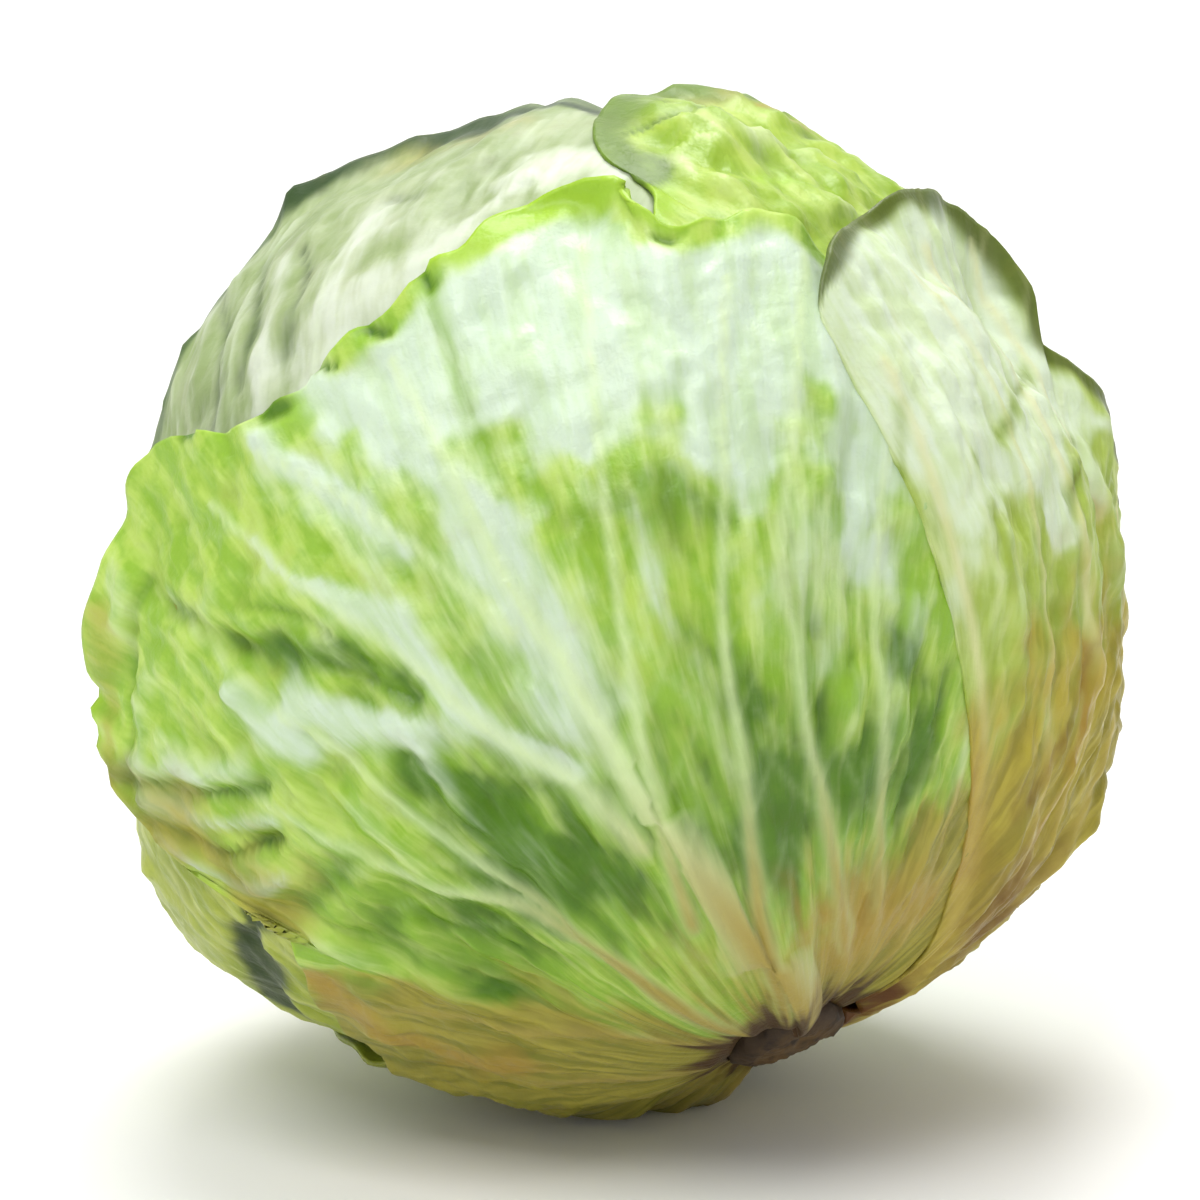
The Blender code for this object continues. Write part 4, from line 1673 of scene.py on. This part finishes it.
CROWN_LEAF = WrapperLeaf(
    "crown_leaf",
    "leaf_green",
    CROWN_GREEN,
    azimuth=166.0,
    centre=105.0,
    base=(-52.0, 52.0),
    rim=(
        (-47, 90), (-42, 118), (-32, 150), (-18, 182), (-4, 204),
        (8, 206), (20, 184), (33, 150), (42, 118), (47, 90),
    ),
    columns=130,
    rows=140,
    base_reach=17.0,
    flare=((0.0, 0.0006), (0.5, 0.0010), (1.0, 0.0006)),
    wave=0.0008,
    veins=(Vein(((0, 18), (0, 60), (1, 120), (0, 190)), 0.0032, 0.0010),),
)

UPPER_LEFT_LEAF = WrapperLeaf(
    "upper_left_leaf",
    "leaf_pale",
    PALE,
    azimuth=-38.0,
    centre=76.0,
    base=(-50.0, 50.0),
    rim=(
        (-46, 78), (-32, 98), (-14, 114), (-6, 124), (-1, 138),
        (4, 151), (13, 159), (22, 158), (30, 149), (38, 128), (46, 98),
    ),
    columns=200,
    rows=160,
    flare=((0.0, 0.0008), (0.35, 0.0022), (0.6, 0.0014), (1.0, 0.0006)),
    wave=0.0010,
    side_ribs=12,
    frill=0.0003,
    pleat=0.0007,
    crinkle=0.0001,
    rim_band=((0.0, 0.0030), (1.0, 0.0030)),
    streaks=(
        Streak(Zone.DARK, ((-12, 118), (-8, 124), (-5, 131), (-3, 141), (1, 148), (4, 152)), 0.0038, 1.0),
        Streak(Zone.DARK, ((3, 149), (6, 154), (9, 157), (13, 158)), 0.0040, 1.0, 0.0006),
        Streak(Zone.DARK, ((12, 157), (17, 157), (22, 154)), 0.0044, 1.0),
        Streak(Zone.AGED_AND_SHADE, ((9, 152), (14, 151), (19, 149)), 0.0050, 0.45),
        # Creases with painted shade, and ridges with painted highlights between them
        Streak(Zone.DARK, ((13, 136), (15, 134)), 0.0020, 0.5, -0.0005),
        Streak(Zone.DARK, ((7, 133), (8.5, 124), (8, 114)), 0.0014, 0.5, -0.0005),
        Streak(Zone.DARK, ((3, 136), (4.5, 124), (4, 113)), 0.0016, 0.55, -0.0006),
        Streak(Zone.DARK, ((0, 134), (1.5, 120), (1, 110)), 0.0018, 0.5, -0.0006),
        Streak(Zone.PALE, ((12, 132), (12, 119), (10, 106)), 0.0052, 0.9, 0.0005),
        Streak(Zone.PALE, ((6, 132), (6.3, 120), (6, 106)), 0.0024, 0.75, 0.0005),
        Streak(Zone.PALE, ((14, 112), (19, 122), (21, 130), (22.5, 137), (27, 138)), 0.0048, 1.0, 0.0006),
    ),
    veins=(Vein(((0, 12), (0, 60), (2, 120), (4, 144)), 0.0030, 0.0009),),
)

TOP_LEAF = WrapperLeaf(
    "top_leaf",
    "leaf_yellow_green",
    YELLOW_GREEN,
    azimuth=60.0,
    centre=80.0,
    base=(-46.0, 46.0),
    rim=(
        (-42, 78), (-30, 97), (-20, 109), (-16, 115), (-14.5, 120), (-14, 127), (-11.5, 134), (-7, 139.5),
        (-1, 141), (4, 137.5), (8, 130), (13, 125), (19, 120), (26, 113), (32, 106), (42, 88),
    ),
    columns=200,
    rows=150,
    flare=(
        (0.0, 0.0006), (0.3, 0.0004), (0.42, 0.0), (0.47, 0.0012), (0.51, 0.0024), (0.56, 0.0010),
        (0.62, 0.0004), (0.68, 0.0030), (0.8, 0.0034), (1.0, 0.0008),
    ),
    tuck=((0.0, 0.0), (0.26, 0.2), (0.32, 0.9), (0.40, 0.8), (0.45, 0.3), (0.49, 0.0), (1.0, 0.0)),
    wave=0.0014,
    waves=9.0,
    frill=0.0008,
    frill_length=0.0130,
    side_ribs=8,
    crinkle=0.0008,
    streaks=(
        Streak(Zone.DARK, ((-14, 122), (-12, 131), (-8, 137), (-2, 140), (4, 136)), 0.0064, 0.9),
        Streak(Zone.AGED_AND_SHADE, ((-3, 137), (3, 135), (8, 128)), 0.0030, 0.4),
        # Creases with painted shade, ridges with painted highlights, and a crease of rim green among them
        Streak(Zone.DARK, ((-14, 124), (-14, 119), (-12, 121)), 0.0010, 0.7, -0.0008),
        Streak(Zone.DARK, ((-11, 129), (-8, 127), (-5, 128)), 0.0014, 0.6, -0.0008),
        Streak(Zone.RIM, ((-8, 114), (-5.5, 115), (-2, 113)), 0.0016, 0.9, -0.0006),
        Streak(Zone.PALE, ((-12, 118), (-11, 122), (-9, 121)), 0.0018, 0.8, 0.0008),
        Streak(Zone.PALE, ((-6, 121), (-2, 124), (2, 122)), 0.0020, 0.6, 0.0008),
        Streak(Zone.DARK, ((3, 128), (6, 125), (8, 121)), 0.0012, 0.4, -0.0008),
        Streak(Zone.TAN, ((1, 133), (4, 130)), 0.0010, 0.7),
    ),
    veins=(Vein(((0, 12), (0, 60), (-2, 110), (-4, 134)), 0.0030, 0.0009),),
)

BACK_LEAF = WrapperLeaf(
    "back_leaf",
    "leaf_green",
    BACK_GREEN,
    azimuth=-178.0,
    centre=62.0,
    base=(-48.0, 48.0),
    rim=((-46, 72), (-40, 94), (-24, 112), (-8, 118), (6, 112), (18, 117), (32, 103), (44, 76)),
    columns=160,
    rows=110,
    flare=((0.0, 0.0010), (0.4, 0.0030), (0.6, 0.0018), (1.0, 0.0010)),
    wave=0.0022,
    frill=0.0012,
    veins=(Vein(((0, 12), (1, 40), (-1, 80), (0, 112)), 0.0040, 0.0010),),
)

BACK_RIGHT_LEAF = WrapperLeaf(
    "back_right_leaf",
    "leaf_green",
    BACK_GREEN,
    azimuth=132.0,
    centre=65.0,
    base=(-48.0, 48.0),
    rim=((-44, 78), (-36, 100), (-16, 117), (6, 121), (24, 112), (38, 96), (46, 74)),
    columns=160,
    rows=110,
    flare=((0.0, 0.0002), (0.3, 0.0006), (0.6, 0.0022), (1.0, 0.0010)),
    wave=0.0014,
    frill=0.0007,
    veins=(Vein(((0, 12), (-1, 40), (1, 80), (0, 116)), 0.0040, 0.0010),),
)

LEFT_LEAF = WrapperLeaf(
    "left_leaf",
    "leaf_olive",
    OLD_OLIVE,
    azimuth=-106.0,
    centre=60.0,
    base=(-46.0, 46.0),
    rim=((-44, 76), (-32, 97), (-12, 109), (8, 113), (24, 113), (38, 101), (47, 78)),
    columns=170,
    rows=120,
    flare=((0.0, 0.0010), (0.5, 0.0024), (1.0, 0.0008)),
    wave=0.0016,
    aged_and_shade_limit=((-50, 45), (0, 40), (50, 50)),
    pleat=0.0006,
    streaks=(
        # The slit at the lower left: a shallow groove with painted shade in deep green, standing in for a
        # deep pocket
        Streak(Zone.DARK, ((30, 68), (24, 65.5), (17, 63), (10, 62)), 0.0034, 1.6, -0.0011),
    ),
    veins=(Vein(((0, 12), (1, 40), (0, 80), (2, 108)), 0.0036, 0.0010),),
)

UNDER_LEAF = WrapperLeaf(
    "under_leaf",
    "leaf_olive",
    OLD_OLIVE,
    azimuth=-152.0,
    centre=50.0,
    base=(-52.0, 52.0),
    rim=((-52, 46), (-44, 66), (-28, 80), (-6, 85), (16, 80), (34, 68), (48, 50)),
    columns=140,
    rows=90,
    flare=((0.0, 0.0014), (0.5, 0.0020), (1.0, 0.0006)),
    wave=0.0012,
    waves=6.0,
    aged_and_shade_limit=((-60, 50), (0, 60), (60, 50)),
    veins=(Vein(((0, 12), (1, 40), (0, 82)), 0.0036, 0.0010),),
)

FRONT_VEINS = (
    Vein(
        ((30, 9), (17, 20), (8.5, 31), (4.5, 41), (3, 50), (2.2, 60), (0.5, 72), (0, 86), (-1, 100)),
        0.0066, 0.0009,
    ),
    Vein(((0, 40), (-3, 49), (-7, 56), (-10, 67), (-12, 75), (-15, 86), (-18, 101)), 0.0020, 0.0008),
    Vein(((-1, 66), (-5, 79), (-8, 88), (-12, 99)), 0.0014, 0.0006),
    Vein(
        ((-8, 11), (-14, 20), (-17, 30), (-22, 43), (-27, 50), (-30, 60), (-32, 73), (-35, 90)),
        0.0022,
        0.0008,
    ),
    Vein(((-14, 22), (-18, 36), (-21, 52), (-22, 66), (-24, 80), (-26, 100)), 0.0013, 0.0006),
    Vein(((-28, 12), (-40, 26), (-47, 40), (-52, 54)), 0.0016, 0.0007),
    Vein(((-58, 12), (-62, 24), (-64, 38), (-62, 54)), 0.0020, 0.0008),
    Vein(((-84, 12), (-84, 26), (-82, 44)), 0.0014, 0.0007),
    Vein(((1, 30), (5, 44), (8, 58), (10, 72), (12, 90), (13, 106)), 0.0014, 0.0006),
    Vein(((14, 11), (14, 26), (16, 34), (17, 43), (18, 60), (20, 76), (22, 98)), 0.0016, 0.0007),
    Vein(
        ((46, 10), (33, 30), (29, 41), (26, 50), (25, 58), (24, 64), (26, 80), (28, 104)),
        0.0018,
        0.0008,
    ),
    Vein(((56, 12), (44, 30), (38, 46), (35, 60), (35, 78), (36, 98)), 0.0015, 0.0007),
    Vein(((70, 14), (60, 30), (54, 46), (50, 62), (48, 82)), 0.0015, 0.0007),
)
FRONT_STREAKS = (
    # Creases of the left half, beside the midrib, with painted shade in them, and folds with painted
    # highlights on them
    Streak(
        Zone.DARK,
        ((-27, 102), (-23.5, 87.5), (-19.5, 79.5), (-16.5, 74.5), (-12.5, 66)),
        0.0022, 0.45, -0.0016,
    ),
    Streak(Zone.DARK, ((-20.5, 88.5), (-16, 81), (-14.5, 76), (-12, 69)), 0.0018, 0.4, -0.0006),
    Streak(Zone.DARK, ((-20, 83), (-15, 75)), 0.0034, 0.45),
    Streak(Zone.PALE, ((-25.5, 82), (-25.5, 76), (-24.5, 71)), 0.0028, 0.95, 0.0014),
    Streak(Zone.PALE, ((-22, 75), (-18, 68.5), (-13.5, 62.5)), 0.0032, 1.0, 0.0016),
    # Pale stretches between the ribs, up to the upper margin: whitish blade, with painted highlights where
    # they run on ridges
    Streak(
        Zone.PALE,
        ((-13, 82), (-10.5, 74), (-9.5, 67.5), (-9, 62), (-6.5, 56.5), (-2.5, 50)),
        0.0019, 0.9,
    ),
    Streak(Zone.PALE, ((-11.5, 100), (-11, 97.5), (-8, 88.5), (-6, 80)), 0.0018, 0.9, 0.0005),
    Streak(Zone.PALE, ((-6.5, 103), (-3.5, 94), (-0.5, 83), (1, 73), (2, 64), (3, 55)), 0.0040, 0.95),
    Streak(Zone.PALE, ((-16, 92), (-15, 86), (-12, 78)), 0.0012, 0.6, 0.0004),
    # Curled folds at the left margin, each a crease with painted shade beside a ridge with a painted
    # highlight
    Streak(Zone.DARK, ((-27, 104), (-31, 101), (-36, 97), (-40, 92)), 0.0014, 0.45, -0.0009),
    Streak(Zone.AGED_AND_SHADE, ((-31, 107), (-36, 102), (-41, 95)), 0.0030, 0.5),
    Streak(Zone.PALE, ((-40, 93), (-36, 84), (-31, 76)), 0.0026, 0.6, 0.0014),
    Streak(Zone.DARK, ((-40.5, 92), (-37.5, 84), (-35, 78.5), (-31, 73)), 0.0015, 0.8, -0.0015),
    Streak(Zone.PALE, ((-40.5, 88), (-38.5, 80), (-36, 74), (-33, 70)), 0.0015, 0.7, 0.0010),
    Streak(Zone.DARK, ((-42, 86), (-40.5, 79), (-39, 73.5), (-35, 69)), 0.0014, 0.8, -0.0014),
    Streak(Zone.PALE, ((-42.5, 84), (-41.8, 77), (-41, 70), (-38, 66)), 0.0012, 0.9, 0.0010),
    # The notch at the lower left with painted shade in it, and the ageing round it and along the low lobe
    Streak(Zone.DARK, ((-43, 66), (-38, 62), (-32, 60)), 0.0030, 0.55, -0.0008),
    Streak(Zone.AGED_AND_SHADE, ((-43, 90), (-40, 76), (-42, 66)), 0.0085, 0.75),
    Streak(Zone.TAN, ((-49, 61), (-54, 56), (-59, 50), (-62, 43), (-58, 35)), 0.0050, 0.8),
    # Dimples along the upper margin, each with painted shade in its hollow
    Streak(Zone.DARK, ((-17.2, 111.5), (-16.2, 109.8)), 0.0020, 0.9, -0.0014),
    Streak(Zone.DARK, ((-10.2, 103), (-9, 102)), 0.0019, 0.9, -0.0013),
    Streak(Zone.DARK, ((-5.8, 104), (-4.8, 103)), 0.0016, 0.85, -0.0012),
    Streak(Zone.DARK, ((-1.8, 105), (-0.8, 103.5)), 0.0020, 0.9, -0.0013),
    Streak(Zone.DARK, ((2.8, 108), (3.2, 106)), 0.0018, 0.9, -0.0012),
    # A shallow crease with painted shade, the green stretch of the rim, and one more dimple with painted
    # shade
    Streak(Zone.DARK, ((2.5, 103), (3, 96), (3, 90)), 0.0015, 0.5, -0.0003),
    Streak(Zone.RIM, ((7, 110.5), (10, 112.5), (14, 112.5)), 0.0036, 1.0),
    Streak(Zone.DARK, ((17.5, 103.5), (18.5, 102.5)), 0.0011, 0.7, -0.0008),
)
FRONT_PATCHES = (
    # Deep green round the ribs, from the middle of the leaf to its base
    Patch(Zone.DARK, 15.5, 74.5, 3.5, 4, 0.65),
    Patch(Zone.DARK, 8.5, 74, 3.5, 3.5, 0.6),
    Patch(Zone.DARK, 20, 71, 3, 3, 0.4),
    Patch(Zone.DARK, 39.5, 56, 2.2, 2.4, 0.9),
    Patch(Zone.DARK, 46, 51, 1.5, 6, 0.6),
    Patch(Zone.DARK, 38, 42, 5, 6, 0.7),
    Patch(Zone.DARK, 20, 37, 5, 6, 0.8),
    Patch(Zone.DARK, 17.5, 52, 3, 4, 0.5),
    Patch(Zone.DARK, 26, 40, 14, 14, 0.45),
    Patch(Zone.DARK, 8, 46, 34, 20, 0.30),
    Patch(Zone.DARK, -18, 60, 3, 4, 0.8),
    Patch(Zone.DARK, -14, 51, 3, 5, 0.8),
    Patch(Zone.DARK, -11.5, 42, 4, 6, 1.0),
    Patch(Zone.DARK, -34, 43, 6, 10, 0.6),
    Patch(Zone.DARK, -16, 46, 12, 16, 0.45),
    # Pale spots between them: thin blade, with painted highlights where they sit on the midrib and the ribs
    Patch(Zone.PALE, 1.5, 68, 2.5, 12, 0.8),
    Patch(Zone.PALE, -9, 88, 2.5, 8, 0.5),
    Patch(Zone.PALE, 12.5, 67, 1.8, 4, 0.9),
    Patch(Zone.PALE, 34, 66, 3, 4, 0.7),
    Patch(Zone.PALE, 31, 67, 12, 9, 0.55),
    Patch(Zone.PALE, -4, 66, 9, 22, 0.35),
    # Tan patches near the stem
    Patch(Zone.TAN, 50, 27, 14, 7, 0.6),
    Patch(Zone.TAN, 30, 22, 16, 6, 0.6),
)
FRONT_LEAF = WrapperLeaf(
    "front_leaf",
    "leaf_green",
    GREEN,
    azimuth=-6.0,
    centre=60.0,
    base=(-106.0, 94.0),
    rim=(
        (-106, 30), (-96, 42), (-86, 48), (-76, 55), (-65, 60), (-54, 61), (-44.5, 63), (-43.2, 71),
        (-42.8, 82), (-42, 91), (-39.5, 100), (-35, 106), (-30, 110), (-25, 115), (-20, 115), (-16, 109.5),
        (-13, 104.5), (-10, 103.5), (-7, 103), (-3, 105.5), (0, 105.5), (3, 108), (5.5, 108.5), (8, 112.5),
        (12, 114.5), (15.5, 113), (17.3, 107), (18.8, 104), (21, 105.5), (24, 108), (27, 107.5), (30, 105.5),
        (34, 104), (46, 97), (58, 84), (68, 62), (74, 42),
    ),
    columns=310,
    rows=150,
    bend=2.5,
    flare=(
        (0.0, 0.0008), (0.15, 0.0012), (0.24, 0.0020), (0.28, 0.0032), (0.36, 0.0040),
        (0.44, 0.0030), (0.5, 0.0020), (0.6, 0.0020), (0.72, 0.0014), (1.0, 0.0004),
    ),
    tuck=((0.0, 0.6), (0.16, 0.6), (0.20, 0.4), (0.235, 0.0), (1.0, 0.0)),
    wave=0.0008,
    waves=12.0,
    frill=0.0006,
    frill_length=0.0170,
    side_ribs=0,
    curl=((0.0, 0.0), (0.6, 0.0), (0.63, 0.0040), (0.66, 0.0040), (0.69, 0.0), (1.0, 0.0)),
    veins=FRONT_VEINS,
    streaks=FRONT_STREAKS,
    patches=FRONT_PATCHES,
    pale_floor=(
        (-20, 130), (-12, 110), (-6, 99), (-3, 91), (0, 87), (4, 83), (8, 80), (14, 81),
        (19, 76), (26, 78), (33, 75), (40, 78), (48, 84), (56, 95), (70, 120),
    ),
    aged_and_shade_limit=(
        (-106, 82), (-70, 72), (-50, 64), (-44, 50), (-34, 30), (-20, 18),
        (0, 20), (20, 20), (34, 28), (45, 34), (60, 50), (74, 70),
    ),
    pale_edge=(
        (0.0, 0.0060), (0.5, 0.0070), (0.57, 0.0035), (0.585, 0.0030), (0.605, 0.0060),
        (0.64, 0.0050), (0.67, 0.0040), (0.76, 0.0032), (0.85, 0.0010), (1.0, 0.0),
    ),
    rim_band=(
        (0.0, 0.0), (0.24, 0.0), (0.26, 0.0010), (0.34, 0.0010), (0.38, 0.0), (0.57, 0.0),
        (0.6, 0.0045), (0.64, 0.0030), (0.67, 0.0008), (0.70, 0.0), (1.0, 0.0),
    ),
)

RIGHT_VEINS = (
    Vein(((-2, 14), (-18, 24), (-28, 35), (-33, 48), (-35.5, 61), (-36, 74), (-35, 90)), 0.0024, 0.0009),
    Vein(
        ((6, 14), (-2, 28), (-9, 46), (-12, 54), (-16, 61), (-18, 71), (-19, 81), (-20, 90), (-21, 104)),
        0.0026,
        0.0011,
    ),
    Vein(((-6, 26), (-18, 42), (-23, 54), (-25, 68), (-25, 86), (-26, 100)), 0.0013, 0.0006),
    Vein(((14, 14), (4, 30), (-3, 48), (-8, 66), (-10, 84), (-13, 106)), 0.0016, 0.0007),
    Vein(((24, 14), (14, 32), (7, 52), (3, 70), (2, 84)), 0.0016, 0.0007),
    Vein(((40, 14), (30, 32), (22, 52), (17, 74)), 0.0016, 0.0007),
    Vein(((58, 14), (46, 32), (38, 50), (33, 70)), 0.0016, 0.0007),
    Vein(((74, 14), (62, 30), (50, 50)), 0.0014, 0.0007),
)
RIGHT_STREAKS = (
    # The upper lobe: a rib with a painted highlight, and dark lines across it
    Streak(Zone.PALE, ((-17.5, 109), (-15.5, 102), (-15.5, 95), (-17, 89)), 0.0020, 1.0, 0.0006),
    Streak(Zone.DARK, ((-12, 90), (-20, 85), (-27, 78.5)), 0.0022, 0.6),
    Streak(Zone.DARK, ((-35.5, 85), (-38.5, 77)), 0.0014, 0.5),
    Streak(Zone.DARK, ((-31.5, 77), (-31, 76)), 0.0010, 0.6),
    Streak(Zone.DARK, ((-9, 82), (-15, 77), (-19.5, 71)), 0.0020, 0.6),
    Streak(Zone.BROWNED_AND_SHADE, ((-14, 78), (-18, 73)), 0.0007, 0.5),
    Streak(Zone.PALE, ((-20, 82), (-21, 77), (-21, 70)), 0.0026, 0.9, 0.0005),
    # Ageing along the ribs of the flank
    Streak(Zone.BROWNED_AND_SHADE, ((-14, 57), (-15.5, 51), (-17.5, 45), (-19.5, 39)), 0.0018, 0.35),
    Streak(Zone.TAN, ((-15, 56), (-12, 44), (-6, 32)), 0.0030, 0.6),
    Streak(Zone.TAN, ((-34, 40), (-24, 28)), 0.0030, 0.6),
)
RIGHT_PATCHES = (
    Patch(Zone.TAN, -6, 60, 6, 8, 0.4),
    # Browned tissue near the stem, darkened further as painted shade of the underside
    Patch(Zone.BROWNED_AND_SHADE, 10, 28, 18, 9, 0.9),
    Patch(Zone.PALE, -35, 70, 5, 14, 0.5),
)
RIGHT_LEAF = WrapperLeaf(
    "right_leaf",
    "leaf_olive",
    OLIVE,
    azimuth=95.0,
    centre=60.0,
    base=(-4.0, 82.0),
    rim=(
        (-38.4, 78), (-38, 90), (-37, 98), (-33.5, 103.5), (-29, 107), (-24, 109.5), (-19.5, 110.5),
        (-15.5, 110), (-12.2, 107.5), (-10.2, 104), (-9.6, 100.5), (-9.2, 97), (-8.6, 94.2), (-7, 92),
        (-4, 89.5), (0, 87), (3.5, 84.5), (8, 81.5), (16, 80), (28, 79), (42, 70), (52, 52),
    ),
    columns=250,
    rows=140,
    bend=3.0,
    flare=(
        (0.0, 0.0002), (0.07, 0.0008), (0.12, 0.0020), (0.18, 0.0032), (0.26, 0.0036), (0.31, 0.0044),
        (0.345, 0.0052), (0.37, 0.0052), (0.39, 0.0036), (0.411, 0.0020), (0.43, 0.0034), (0.47, 0.0040),
        (0.53, 0.0036), (0.58, 0.0028), (0.75, 0.0024), (1.0, 0.0010),
    ),
    wave=0.0010,
    waves=8.0,
    side_ribs=0,
    veins=RIGHT_VEINS,
    streaks=RIGHT_STREAKS,
    patches=RIGHT_PATCHES,
    aged_and_shade_limit=((-38, 44), (-30, 50), (-20, 56), (-8, 66), (4, 72), (30, 78), (52, 60)),
    pale_floor=((-40, 74), (-30, 72), (-20, 72), (-10, 76), (0, 88), (20, 104)),
    pale_edge=((0.0, 0.0), (0.1, 0.0), (0.2, 0.0025), (0.4, 0.0025), (0.45, 0.0050), (1.0, 0.0060)),
    tuck=((0.0, 0.93), (0.072, 0.93), (0.11, 0.0), (0.60, 0.0), (0.68, 0.6), (1.0, 0.6)),
    # The dark olive band along the upper lobes' margin is partly the margin's own colour and partly painted
    # shade of the gap behind it
    rim_band=(
        (0.0, 0.0), (0.07, 0.0), (0.10, 0.0018), (0.2, 0.0030), (0.6, 0.0024), (0.66, 0.0), (1.0, 0.0),
    ),
    frill=0.0002,
)

# From the inside out: each leaf lies over the ones before it
LEAVES = (
    CROWN_LEAF,
    UPPER_LEFT_LEAF,
    TOP_LEAF,
    BACK_LEAF,
    BACK_RIGHT_LEAF,
    LEFT_LEAF,
    UNDER_LEAF,
    FRONT_LEAF,
    RIGHT_LEAF,
)


def main() -> None:
    """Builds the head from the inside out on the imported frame, and the studio round it."""
    logging.basicConfig(level=logging.INFO, format="%(name)s: %(message)s")
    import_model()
    head = Head(LEAVES)
    LOG.info("head of %d wrapper leaves", len(head.leaves))
    for part in (Heart(head, HEART), Stem(head, StemFinish())):
        LOG.info("%s", part.build().name)
    for index in range(len(head.leaves)):
        LOG.info("%s", LeafPiece(head, index).build().name)
    Studio(head.centre).build()


if __name__ == "__main__":
    main()
